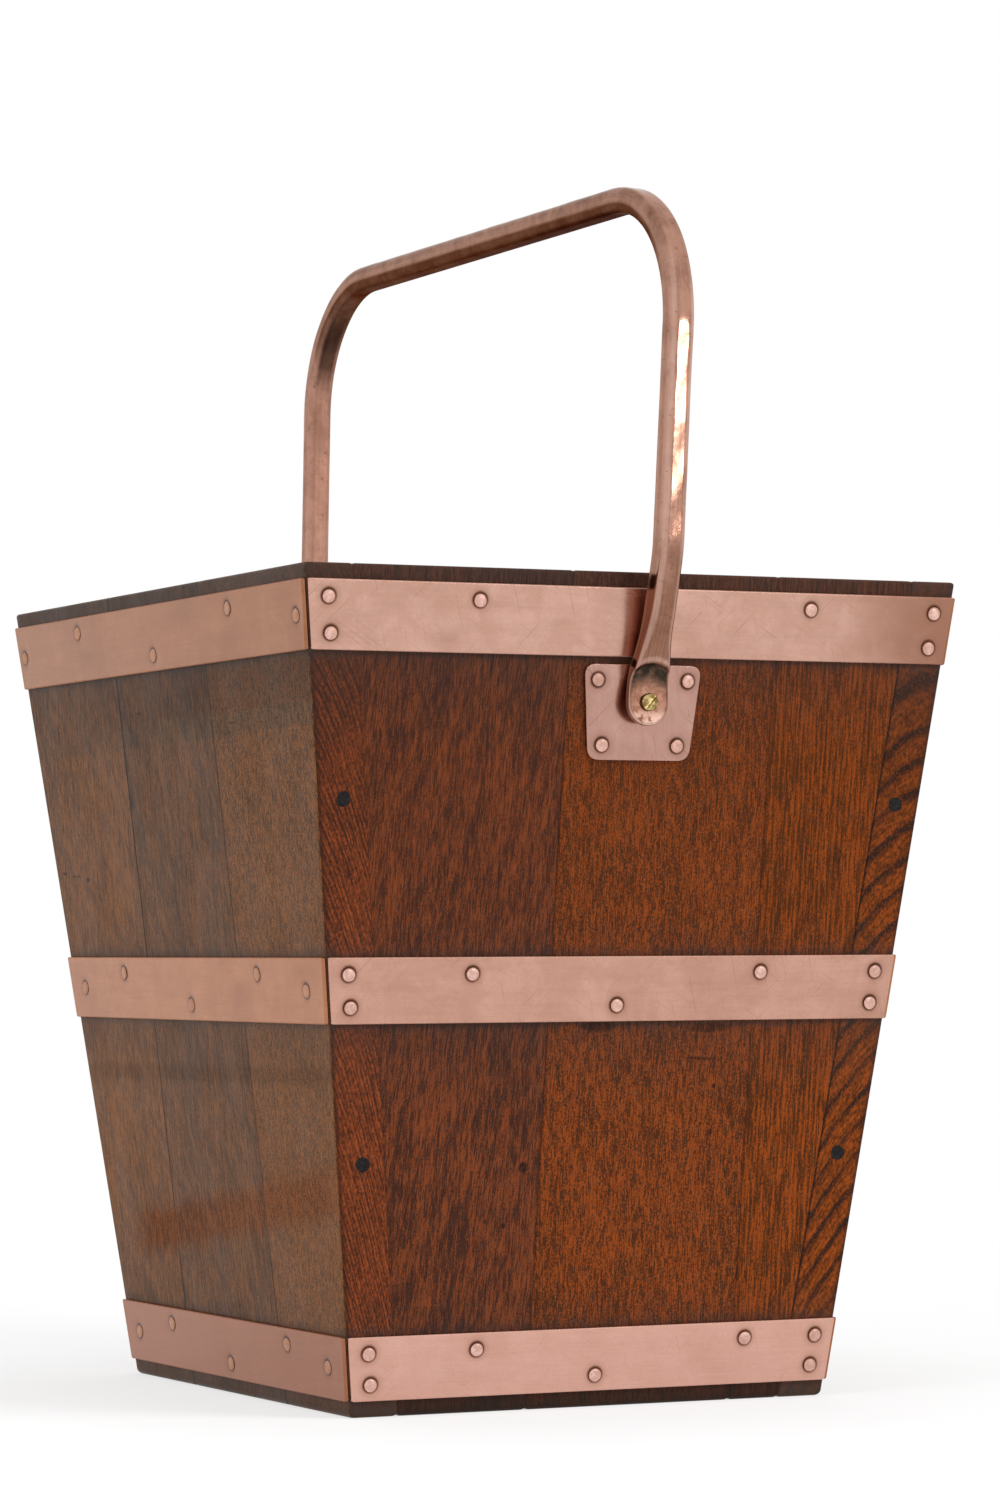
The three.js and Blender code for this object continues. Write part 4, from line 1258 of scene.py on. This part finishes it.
class MakePegs(bpy.types.Operator):
    """Build the eight pegs that pin the corners"""

    bl_idname = "coal_bucket.pegs"
    bl_label = "Pegs"

    def execute(self, context):
        dark = colour_of("peg")
        tints = (dark, scaled(dark, 2.6, 2.6, 2.6))
        relief = (0.15 * MM, 0.6)
        material = speckled(
            "peg_end_grain", 900, 2, tints, (0.4, 0.7), (0.45, 0.7), relief, Specular_IOR_Level=0.08
        )
        radius, proud = PEG["radius"], PEG["proud"]
        profile = [(0, -PEG["length"]), (radius, -PEG["length"]), (radius, -0.2 * MM)]
        profile += [(radius * 0.97, 0.6 * proud)]
        profile += [(radius * share, proud) for share in (0.88, 0.5, 0)]
        for side in PIVOTED:
            for end in (-1, 1):
                corner = f"{side}_left" if (side == "front") == (end < 0) else f"{side}_right"
                for level, (height, later) in PEG_LEVELS.items():
                    shape = Surface()
                    grid = lathe(profile, 24, 0.08, PEG_SEEDS[corner] + later)
                    place = wall_frame(side, end * (half_width(height) - PEG["inset"]), height)
                    shape.add(framed(grid, place), caps=False)
                    piece = shape.build(f"peg_{corner}_{level}_end", [material])
                    finish_piece(piece, "bucket", "peg_wood", f"peg_{corner}_{level}")
        return {"FINISHED"}


# Tones of the strips of the front and back (True) and of the sides (False)
STRIP_TONES = {
    True: {"upper": (1.0, 1.01, 1.0), "middle": (0.95, 0.92, 0.88), "lower": (1.14, 1.13, 1.15)},
    False: {"upper": (0.93, 0.86, 0.78), "middle": (1.09, 1.01, 0.92), "lower": (0.89, 0.78, 0.78)},
}
# Painted shade towards the far end of the front and back strips, by level
STRIP_END_SHADES = {"upper": 0.8, "middle": 0.0, "lower": 0.1}
SIDE_NAIL_RISE = 0.55


class MakeStrips(bpy.types.Operator):
    """Build the twelve copper strips with their nails"""

    bl_idname = "coal_bucket.strips"
    bl_label = "Copper strips"

    def execute(self, context):
        size = sizes()
        outer = size.seat_gap + size.strip_thickness
        for turn, side in enumerate(WALL_TURNS):
            pivoted = side in PIVOTED
            tint = colour_of("copper" if pivoted else "side_copper_shaded")
            heads = nail_copper(f"nail_copper_{side}", scaled(tint, 1.08, 1.12, 1.16))
            crown = outer + size.nail_rise * (1 if pivoted else SIDE_NAIL_RISE)
            for step, (level, band) in enumerate(BANDS.items()):
                seed = 10 * turn + step
                sheet = rolled_copper(
                    f"copper_{level}_{side}",
                    seed + 1,
                    scaled(tint, *STRIP_TONES[pivoted][level]),
                    run=span(side, band["low"]),
                    end_shade=STRIP_END_SHADES[level] if pivoted else 0.0,
                    calm=0.5 if level == "lower" else 1.0,
                    width=band["width"],
                )
                shape = Surface()
                points, values = strip_grid(side, band, seed)
                shape.add(points, values=values)
                for number, (along, height) in enumerate(strip_nails(side, band)):
                    nail = nail_grid(side, along, height, outer - 0.2 * MM, crown, seed * 20 + number)
                    shape.add(nail, caps=False, slot=1)
                piece = shape.build(f"strip_{level}_{side}", [sheet, heads])
                finish_piece(piece, "bucket", "band_copper", f"band_{level}_{side}")
        return {"FINISHED"}


# Pivot plates, screws and washers

PLATE = {"top": 60.7 * MM, "foot": 52.5 * MM, "above": 18 * MM, "below": 26.6 * MM, "thickness": 1.6 * MM}
PLATE_EDGE = 0.55 * MM
PLATE_DIP = 0.2 * MM
PLATE_WAVE = 0.04 * MM
PLATE_NAILS = (("upper", 46.4 * MM, 10.6 * MM), ("lower", 39 * MM, -19.4 * MM))
PLATE_NAIL_SEEDS = {"front": 10, "back": 18}
STAND_OFF = 5.2 * MM
RUNNING_GAP = 0.15 * MM
SCREW = {"radius": 4.1 * MM, "edge": 0.77 * MM, "top": 2.3 * MM, "slot": 1.3 * MM, "deep": 1.1 * MM}
SHANK = {"radius": 2.5 * MM, "length": 28 * MM, "point": 8 * MM, "overlap": 0.1 * MM}
SLOT_TURN = -0.7
WASHER = {"radius": 5.5 * MM, "thickness": 2.1 * MM, "soft": 0.35 * MM}


def pivot_along(side):
    return pivot[0] if side == "front" else -pivot[0]


def plate_outline():
    """Outline of a pivot plate: a keystone whose corners are rounded by curves, anticlockwise seen from
    outside."""
    foot, top = PLATE["foot"] / 2, PLATE["top"] / 2
    below, above = -PLATE["below"], PLATE["above"]
    corners = np.array([(-foot, below), (foot, below), (top, above), (-top, above)])
    to_last, to_next = directions(corners, 0)
    radius = sizes().plate_corner
    start, end = corners + to_last * radius, corners + to_next * radius
    curve = np.linspace(0, 1, 10)[None, :, None]
    rounded = corner_curve(start[:, None], corners[:, None], end[:, None], curve)
    side = np.linspace(0, 1, 15, endpoint=False)[1:][None, :, None]
    straight = end[:, None] + (np.roll(start, -1, axis=0) - end)[:, None] * side
    return np.concatenate([rounded, straight], axis=1).reshape(-1, 2)


def plate_grid(side):
    """A pivot plate: rings of its outline, from the middle of the back out to the edge and in again over
    the face, with a rounded edge, a dip round each nail and a faint wave."""
    outline = plate_outline()
    half = PLATE["foot"] / 2
    bends = np.linspace(0, np.pi / 2, 5)
    inner = np.linspace(1 - 1.4 * PLATE_EDGE / half, 0, 26)
    share = np.concatenate([[0, 0.9, 1.0], 1 - PLATE_EDGE * (1 - np.cos(bends)) / half, inner])
    back = sizes().seat_gap
    front = back + PLATE["thickness"]
    rounded = front - PLATE_EDGE * (1 - np.sin(bends))
    height = np.concatenate([[back] * 3, rounded, np.full(inner.size, front)])
    grid = np.zeros((share.size, len(outline), 3))
    grid[..., :2] = outline[None] * share[:, None, None]
    grid[..., 2] = height[:, None]
    x, y = grid[..., 0], grid[..., 1]
    nail = nearest(x, y, [(end * spacing / 2, rise) for _, spacing, rise in PLATE_NAILS for end in (-1, 1)])
    dip = PLATE_DIP * dimple(nail) + PLATE_WAVE * (1 + soft_waves(x, y, 5, 14 * MM, 60 * MM))
    face = np.arange(share.size)[:, None] > 3
    grid[..., 2] -= np.where(face, dip, 0) * np.clip((1 - share)[:, None] * half / (2 * MM), 0, 1)
    values = np.stack([x, y + PLATE["below"], nail], axis=-1)
    return framed(grid, wall_frame(side, pivot_along(side), pivot[2])), values


class MakePlates(bpy.types.Operator):
    """Build the two copper pivot plates and their nails"""

    bl_idname = "coal_bucket.plates"
    bl_label = "Pivot plates"

    def execute(self, context):
        size = sizes()
        tint = colour_of("copper")
        heads = nail_copper("plate_nail_copper", scaled(tint, 1.05, 1.06, 1.08))
        outer = size.seat_gap + PLATE["thickness"]
        crown = outer + size.nail_rise + RUNNING_GAP
        for number, side in enumerate(PIVOTED):
            tone = scaled(tint, 0.87, 0.87, 0.9)
            sheet = rolled_copper(f"copper_plate_{side}", 41 + number, tone, upright=True, scratched=0.6)
            shape = Surface()
            grid, values = plate_grid(side)
            shape.add(grid, values=values, caps=False)
            piece = shape.build(f"plate_{side}", [sheet])
            finish_piece(piece, "bucket", "band_copper", f"pivot_plate_{side}")
            for level, spacing, rise in PLATE_NAILS:
                for end, hand in HANDS:
                    along = pivot_along(side) + end * spacing / 2
                    seed = PLATE_NAIL_SEEDS[side] + 5 * end + (level == "upper")
                    head = nail_grid(side, along, pivot[2] + rise, outer - 0.1 * MM, crown, seed)
                    nail = Surface()
                    nail.add(head, caps=False)
                    name = f"plate_nail_{side}_{level}_{hand}"
                    finish_piece(nail.build(f"{name}_head", [heads]), "bucket", "band_copper", name)
        return {"FINISHED"}


def screw_head_grid():
    """A domed head cut by a slot: lines across the slot, each as long as the head is wide there, crowded at
    the slot's walls. The height is the dome's, or the slot's floor where the line lies inside the slot."""
    radius, edge, top = SCREW["radius"], SCREW["edge"], SCREW["top"]
    half_slot = SCREW["slot"] / 2
    wall = [-half_slot - 0.04 * MM, -half_slot + 0.04 * MM]
    side = np.concatenate([-np.cos(np.linspace(0, np.pi / 2, 14))[:-3] * radius, wall])
    across = np.concatenate([side, [-0.3 * MM, 0.3 * MM], -side[::-1]])
    u, t = np.meshgrid(across, -np.cos(np.linspace(0, np.pi, 33)), indexing="ij")
    v = t * np.sqrt(np.clip(radius**2 - u**2, 0, None))
    r = np.clip(np.hypot(u, v) / radius, 0, 1)
    dome = edge + (top - edge) * np.sqrt(np.clip(1 - r**2.4, 0, 1))
    height = np.where(np.abs(u) < half_slot, np.minimum(dome, top - SCREW["deep"]), dome)
    return [turned(np.stack([u, v, z], axis=-1), SLOT_TURN) for z in (height, np.zeros_like(height))]


class MakePivots(bpy.types.Operator):
    """Build the brass pivot screws and their washers"""

    bl_idname = "coal_bucket.pivots"
    bl_label = "Pivot screws"

    def execute(self, context):
        tint = colour_of("brass")
        tints = (scaled(tint, 0.4, 0.36, 0.26), tint)
        relief = (0.25 * MM, 0.6)
        brass = speckled("turned_brass", 420, 3, tints, (0.38, 0.6), (0.16, 0.34), relief, Metallic=1.0)
        for side in PIVOTED:
            place = wall_frame(side, pivot_along(side), pivot[2], upright=True)
            piece = self.screw(place).build(f"screw_{side}", [brass], smooth=math.radians(40))
            finish_piece(piece, "bucket", "screw_brass", f"pivot_screw_{side}")
            piece = self.washer(place).build(f"washer_{side}", [brass])
            finish_piece(piece, "bucket", "screw_brass", f"pivot_washer_{side}")
        return {"FINISHED"}

    def screw(self, place):
        """The head's crown, its flat underside and the wall between them, and a shank that ends in a
        point."""
        seat = STAND_OFF + sizes().blade_thickness + RUNNING_GAP
        crown, under = (grid + np.array([0, 0, seat]) for grid in screw_head_grid())
        wall = np.stack([np.concatenate([grid[:, -1], grid[::-1, 0]]) for grid in (crown, under)])
        tip = seat - SHANK["length"]
        root = seat + SHANK["overlap"]
        thick = SHANK["radius"]
        shank = lathe([(0, tip), (thick, tip + SHANK["point"]), (thick, root), (0, root)], 24)
        shape = Surface()
        shape.add(framed(crown, place), wrap=False, caps=False)
        shape.add(framed(under[:, ::-1], place), wrap=False, caps=False)
        shape.add(framed(wall, place), caps=False)
        shape.add(framed(shank, place), caps=False)
        return shape

    def washer(self, place):
        """A turned ring with soft outer edges, from its bore round the outside and back."""
        bore = SHANK["radius"] + RUNNING_GAP
        rim, soft = WASHER["radius"], WASHER["soft"]
        high = STAND_OFF - RUNNING_GAP
        low = high - WASHER["thickness"]
        lower = [(bore, low), (rim - soft, low), (rim, low + soft)]
        upper = [(rim, high - soft), (rim - soft, high), (bore, high)]
        shape = Surface()
        shape.add(framed(lathe(lower + upper + lower[:1], 40), place), caps=False)
        return shape


# Handle

KNEE = {"rise": 68.8 * MM, "span": 410.2 * MM, "bend": 60 * MM}
SHOULDER_BEND = 63.8 * MM
FLAT_RISE = 16 * MM
NEAR_END = 60 * MM
BELOW_PIVOT = 10.9 * MM
FLARE_RISE = 50 * MM
FLARE_WAIST = 0.38
WEDGE_FOOT = 5 * MM
WEDGE_TOP = 41 * MM
RECESS_SIDE = 11 * MM
RECESS_CROWN = 18 * MM
RECESS_FALL = 8 * MM
REST_LEAN = 0.037
BOW_INSET = 0.3 * MM
BLADE_CORNER = 1.2 * MM
HANDLE_WEAR = 0.12 * MM
SIDE_WEAR = 0.012


def bow_line(blade_face):
    """The middle line of the bar from the front leg to the back one, out along y and up, its headings and
    its run: straight lines between corners, with a circle's arc in place of each corner."""
    size = sizes()
    foot = np.array([-(blade_face + size.bar_size / 2), FLAT_RISE])
    knee = np.array([-KNEE["span"] / 2, KNEE["rise"]])
    shoulder = np.array([-size.handle_span / 2, size.handle_rise])
    flip = np.array([-1, 1])
    corners = [foot, knee, shoulder, shoulder * flip, knee * flip, foot * flip]
    bends = [KNEE["bend"], SHOULDER_BEND, SHOULDER_BEND, KNEE["bend"]]
    points = [foot[None]]
    for last, corner, following, radius in zip(corners, corners[1:], corners[2:], bends):
        incoming = (corner - last) / np.linalg.norm(corner - last)
        outgoing = (following - corner) / np.linalg.norm(following - corner)
        turn = math.atan2(incoming[0] * outgoing[1] - incoming[1] * outgoing[0], incoming @ outgoing)
        start = corner - incoming * radius * abs(math.tan(turn / 2))
        left = np.array([-incoming[1], incoming[0]]) * math.copysign(1, turn)
        centre = start + left * radius
        out, up = start - centre
        angles = turn * np.linspace(0, 1, max(4, int(abs(turn) * radius / (0.5 * MM))))
        cosine, sine = np.cos(angles), np.sin(angles)
        points.append(centre + np.stack([out * cosine - up * sine, out * sine + up * cosine], axis=-1))
    points.append(corners[-1][None])
    line = np.vstack(points)
    run = np.concatenate([[0], np.cumsum(np.linalg.norm(np.diff(line, axis=0), axis=1))])
    even = np.linspace(0, run[-1], int(run[-1] / (2.0 * MM)))
    spaced = np.stack([np.interp(even, run, line[:, 0]), np.interp(even, run, line[:, 1])], axis=-1)
    heading = np.gradient(spaced, axis=0)
    heading /= np.linalg.norm(heading, axis=1, keepdims=True)
    return spaced, heading, even


def bar_half_width(rise):
    """Half width of the handle seen from the front: the blade's round foot, then one smooth curve of third
    order that draws in to the bar, whose two inner control points are both at its waist."""
    size = sizes()
    half, neck = size.blade_width / 2, size.bar_size / 2
    centre = half - BELOW_PIVOT
    waist = centre + FLARE_WAIST * (FLARE_RISE - centre)
    t = np.linspace(0, 1, 200)
    shares = ((1 - t) ** 3, 3 * t * (1 - t) ** 2, 3 * t**2 * (1 - t), t**3)
    height = sum(share * value for share, value in zip(shares, (centre, waist, waist, FLARE_RISE)))
    width = sum(share * value for share, value in zip(shares, (half, half, neck, neck)))
    rounded = np.sqrt(np.clip(half**2 - np.clip(centre - rise, 0, half) ** 2, 0, None))
    return np.where(rise < centre, rounded, np.interp(rise, height, width))


def lean_out(rise):
    """How far the inner face of the handle's end leans out of the upright at a rise above the pivot."""
    foot = half_depth(pivot[2]) + STAND_OFF + sizes().bar_size / 2
    lean = (KNEE["span"] / 2 - foot) / (KNEE["rise"] - FLAT_RISE)
    return lean * np.clip(rise - FLAT_RISE, 0, None)


def end_thickness(rise):
    """Level thickness of the handle's end: flat, then a straight wedge that grows out to the bar."""
    size = sizes()
    share = np.clip((rise - WEDGE_FOOT) / (WEDGE_TOP - WEDGE_FOOT), 0, 1)
    outer = size.blade_thickness + (size.bar_size + lean_out(WEDGE_TOP) - size.blade_thickness) * share
    return outer - lean_out(rise)


def handle_rows():
    """Rows along the handle from the tip of the front blade over the bow to the tip of the back one: the
    place of the bar's inner face in the upright plane, the way out of the bucket there, and the thickness
    that way."""
    size = sizes()
    blade_face = half_depth(pivot[2]) + STAND_OFF
    half = size.blade_width / 2
    tip = half - BELOW_PIVOT - half * np.cos(np.linspace(math.radians(4), np.pi / 2, 22))
    rises = np.concatenate([tip, np.arange(tip[-1] + 0.5 * MM, WEDGE_TOP, 0.5 * MM)])
    end = np.stack([-blade_face - lean_out(rises), rises], axis=-1)
    line, heading, run = bow_line(blade_face)
    outward = np.stack([-heading[:, 1], heading[:, 0]], axis=-1)
    inner = line - outward * size.bar_size / 2
    kept = (inner[:, 1] > WEDGE_TOP + 1.0 * MM) | (line[:, 1] > KNEE["rise"])
    inner, outward, run = inner[kept], outward[kept], run[kept]
    reached = np.minimum(run - run[0], run[-1] - run)
    blend = smooth_step(reached, -8 * MM, 24 * MM)[:, None]
    level = np.stack([np.sign(inner[:, 0]), np.zeros(len(inner))], axis=-1)
    ways = level * (1 - blend) + outward * blend
    ways /= np.linalg.norm(ways, axis=1, keepdims=True)
    thick = size.bar_size / (ways * outward).sum(axis=1)
    end_ways = np.tile(np.array([-1.0, 0.0]), (rises.size, 1))
    ends = end_thickness(rises)
    places = np.vstack([end, inner, end[::-1] * np.array([-1, 1])])
    return places, np.vstack([end_ways, ways, -end_ways]), np.concatenate([ends, thick, ends[::-1]])


def handle_grid():
    """The handle as one closed surface: at each row a rounded bar section, its outer face scooped down to the
    blade's thickness below an arch, carried along the bow, and leaned about the pivot to its rest.
    The values are those that drawn_copper reads."""
    size = sizes()
    places, ways, bar = handle_rows()
    rise = places[:, 1][:, None]
    near_end = rise < NEAR_END
    half = np.where(near_end, bar_half_width(rise), size.bar_size / 2)
    turns = np.linspace(-np.pi / 2, np.pi / 2, 33)
    x = np.concatenate([np.sin(turns), np.sin(turns[::-1])])[None, :] * half
    outer = np.arange(2 * turns.size)[None, :] < turns.size
    radius = BLADE_CORNER + (size.bar_corner - BLADE_CORNER) * smooth_step(rise, 8 * MM, 34 * MM)
    centre = size.blade_width / 2 - BELOW_PIVOT
    from_round = size.blade_width / 2 - np.hypot(x, rise - centre)
    from_side = np.where(rise < centre, from_round, half - np.abs(x))
    fall = quarter_round(np.clip(from_side, 0, None), radius)
    share = np.clip(1 - (x / (size.blade_width / 2)) ** 2, 0, 1)
    arch = RECESS_SIDE + (RECESS_CROWN - RECESS_SIDE) * np.sqrt(share)
    climb = np.clip((rise - arch + RECESS_FALL) / RECESS_FALL, 0, 1)
    stepped = np.where(near_end, climb**2.6, 1.0)
    full = size.blade_thickness + (bar[:, None] - size.blade_thickness) * stepped
    step = np.linalg.norm(np.diff(places, axis=0), axis=1)
    run = np.concatenate([[0], np.cumsum(step)])[:, None] * np.ones_like(x)
    waves = soft_waves(run, x, 31, 9 * MM, 60 * MM) * smooth_step(rise, 20 * MM, 60 * MM)
    full = full - HANDLE_WEAR * (1 + waves) - BOW_INSET
    thick = np.where(outer, full - fall, fall)
    py, pz = np.moveaxis(places[:, None, :] + ways[:, None, :] * thick[..., None], -1, 0)
    px = x * (1 - SIDE_WEAR * (1 + soft_waves(run, x * 0, 32, 20 * MM, 80 * MM)))
    cosine, sine = math.cos(REST_LEAN), math.sin(REST_LEAN)
    leaned = np.stack([px * cosine + pz * sine, py, -px * sine + pz * cosine], axis=-1)
    leaned += np.array([pivot[0], 0, pivot[2]])
    # Face values in the recess: tarnish with painted shade, darkest just below the arch and fading down the
    # blade.
    shade = smooth_step(rise, arch - 15 * MM, arch - 1 * MM)
    shade *= 1 - smooth_step(rise, arch - 0.8 * MM, arch + 0.6 * MM)
    # The lip along the top of the arch gets a ridge value, which drawn_copper paints with a highlight.
    lip = smooth_step(rise, arch, arch + 1 * MM) * (1 - smooth_step(rise, arch + 1.5 * MM, arch + 4 * MM))
    ridge = -np.clip(1 - from_side / radius, 0, 1)
    ridge = np.where(near_end, np.minimum(ridge, -0.4 * lip), ridge)
    face = np.where(near_end & (shade > 0.02), shade * (1 + ridge) + ridge, ridge)
    inner_face = 40 * MM * (1 - outer)
    return leaned, np.stack([run, x + inner_face, np.where(outer, face, -2.0)], axis=-1)


class MakeHandle(bpy.types.Operator):
    """Build the copper handle, a square bar bent to a bow with its ends beaten flat"""

    bl_idname = "coal_bucket.handle"
    bl_label = "Handle"

    def execute(self, context):
        shape = Surface()
        grid, values = handle_grid()
        shape.add(grid, values=values)
        piece = shape.build("handle_bow", [drawn_copper("handle_copper")], weld=False)
        finish_piece(piece, "handle", "handle_copper", "handle")
        return {"FINISHED"}


class MakeIron(bpy.types.Operator):
    """Give the base nails their iron finish"""

    bl_idname = "coal_bucket.iron"
    bl_label = "Base nails"

    def execute(self, context):
        dull = colour_of("iron")
        tints = (dull, scaled(dull, 0.5, 0.5, 0.5))
        relief = (0.1 * MM, 0.5)
        iron = speckled("forged_iron", 400, 3, tints, (0.4, 0.7), (0.5, 0.75), relief, Metallic=1.0)
        for name, node in frame["nodes"].items():
            if name.startswith("base_nail"):
                node.material_slots[0].material = iron
        return {"FINISHED"}


# Stage

CAMERA_PLACE = (-1.02096, -2.17461, 0.21629)
CAMERA_YAW = 0.4458
CAMERA_PITCH = 0.0405
CAMERA_ROLL = -0.0042
# Focal length as a share of the picture's long side
FOCAL_SHARE = 4851.626 / 1496
SENSOR = 36

# Soft lamps: name, place, target, size in metres and power in watts
SOFT_LAMPS = (
    ("key", (1.6, -2.2, 2.3), (0, 0, 0.25), 1.3, 60),
    ("fill", (-2.4, -0.8, 1.5), (0, 0, 0.25), 1.6, 28),
    ("top", (0.0, 0.3, 2.6), (0, 0, 0.2), 1.4, 18),
)
GLINT_LAMP = ("glint", (0.99, -2.16, 0.645), (0, -0.2, 0.47), 0.17, 2.2)


def area_lamp(name, place, target, size, power):
    """A square lamp that looks from its place towards a target."""
    lamp = bpy.data.lights.new(name, "AREA")
    lamp.energy = power
    lamp.shape = "SQUARE"
    lamp.size = size
    holder = bpy.data.objects.new(name, lamp)
    way = Vector(target) - Vector(place)
    holder.matrix_world = Matrix.Translation(place) @ way.to_track_quat("-Z", "Y").to_matrix().to_4x4()
    bpy.context.scene.collection.objects.link(holder)
    return holder


class MakeStage(bpy.types.Operator):
    """Build the floor, the studio light and the camera"""

    bl_idname = "coal_bucket.stage"
    bl_label = "Stage"

    def execute(self, context):
        self.camera()
        self.floor()
        self.world()
        for facts in SOFT_LAMPS:
            area_lamp(*facts).visible_glossy = False
        area_lamp(*GLINT_LAMP)
        context.scene.view_settings.view_transform = "Standard"
        return {"FINISHED"}

    def camera(self):
        """A camera that looks along its yaw and pitch, rolled a little."""
        level_way = np.array([math.cos(CAMERA_YAW), -math.sin(CAMERA_YAW), 0.0])
        forward = np.array([math.sin(CAMERA_YAW), math.cos(CAMERA_YAW), 0.0]) * math.cos(CAMERA_PITCH)
        forward[2] = math.sin(CAMERA_PITCH)
        upright = np.cross(level_way, forward)
        right = math.cos(CAMERA_ROLL) * level_way + math.sin(CAMERA_ROLL) * upright
        up = -math.sin(CAMERA_ROLL) * level_way + math.cos(CAMERA_ROLL) * upright
        camera = bpy.data.cameras.new("camera")
        camera.sensor_width = SENSOR
        camera.lens = FOCAL_SHARE * SENSOR
        camera.clip_start, camera.clip_end = 0.05, 50
        holder = bpy.data.objects.new("camera", camera)
        turn = Matrix(np.stack([right, up, -forward], axis=-1).tolist())
        holder.matrix_world = Matrix.Translation(CAMERA_PLACE) @ turn.to_4x4()
        bpy.context.scene.collection.objects.link(holder)
        bpy.context.scene.camera = holder

    def floor(self):
        """A wide pale disc whose colour fades to the backdrop's white away from the bucket."""
        radii = np.concatenate([[0], np.geomspace(0.1, 14, 26)])
        shape = Surface()
        shape.add(lathe([(radius, 0) for radius in radii[::-1]], 64), caps=False)
        finish = Finish("pale_floor")
        pale = finish.ramp(finish.noise(30), (0.0, (0.9, 0.9, 0.9)), (1.0, (0.94, 0.94, 0.94)))
        finish.surface(Base_Color=pale, Roughness=0.9, Specular_IOR_Level=0.1)
        glow = finish.fill(finish.node("ShaderNodeEmission"), Strength=1.0)
        mixer = finish.node("ShaderNodeMixShader")
        fade = finish.spread(finish.size(finish.position), 0.15, 1.1, 0.62, 1.0)
        for value, socket in zip((fade, finish.shader.outputs[0], glow.outputs[0]), mixer.inputs):
            finish.join(value, socket)
        out = next(node for node in finish.tree.nodes if node.type == "OUTPUT_MATERIAL")
        finish.fill(out, Surface=mixer.outputs[0])
        shape.build("floor", [finish.material])

    def world(self):
        """White for the camera and for what metal and glass show, and a softer grey as light on the
        object."""
        world = bpy.data.worlds.new("studio")
        world.use_nodes = True
        bpy.context.scene.world = world
        nodes = Nodes(world.node_tree)
        rays = nodes.node("ShaderNodeLightPath").outputs
        mirrored = nodes.math("ADD", rays["Is Glossy Ray"], rays["Is Transmission Ray"])
        seen = nodes.math("ADD", rays["Is Camera Ray"], mirrored, clamp=True)
        strength = nodes.fill(nodes.node("ShaderNodeMapRange"), Value=seen, To_Min=0.55, To_Max=1.0)
        nodes.fill(world.node_tree.nodes["Background"], Color=(1, 1, 1), Strength=strength.outputs["Result"])


class BucketPanel(bpy.types.Panel):
    """The bucket's pieces, sizes and colours"""

    bl_idname = "VIEW3D_PT_coal_bucket"
    bl_label = "Coal bucket"
    bl_space_type = "VIEW_3D"
    bl_region_type = "UI"
    bl_category = "Coal bucket"

    def draw(self, context):
        for operator in OPERATORS:
            self.layout.operator(operator.bl_idname)
        for group in (context.scene.coal_bucket_sizes, context.scene.coal_bucket_colours):
            box = self.layout.box()
            for name in group.__annotations__:
                box.prop(group, name)


OPERATORS = (MakeBoards, MakePegs, MakeStrips, MakePlates, MakePivots, MakeHandle, MakeIron, MakeStage)
CLASSES = (BucketSizes, BucketColours, *OPERATORS, BucketPanel)


def register():
    for each in CLASSES:
        bpy.utils.register_class(each)
    bpy.types.Scene.coal_bucket_sizes = PointerProperty(type=BucketSizes)
    bpy.types.Scene.coal_bucket_colours = PointerProperty(type=BucketColours)


def unregister():
    del bpy.types.Scene.coal_bucket_sizes
    del bpy.types.Scene.coal_bucket_colours
    for each in reversed(CLASSES):
        bpy.utils.unregister_class(each)


def main():
    register()
    made = bpy.ops.coal_bucket
    made.boards()
    made.pegs()
    made.strips()
    made.plates()
    made.pivots()
    made.handle()
    made.iron()
    made.stage()


if __name__ == "__main__":
    main()
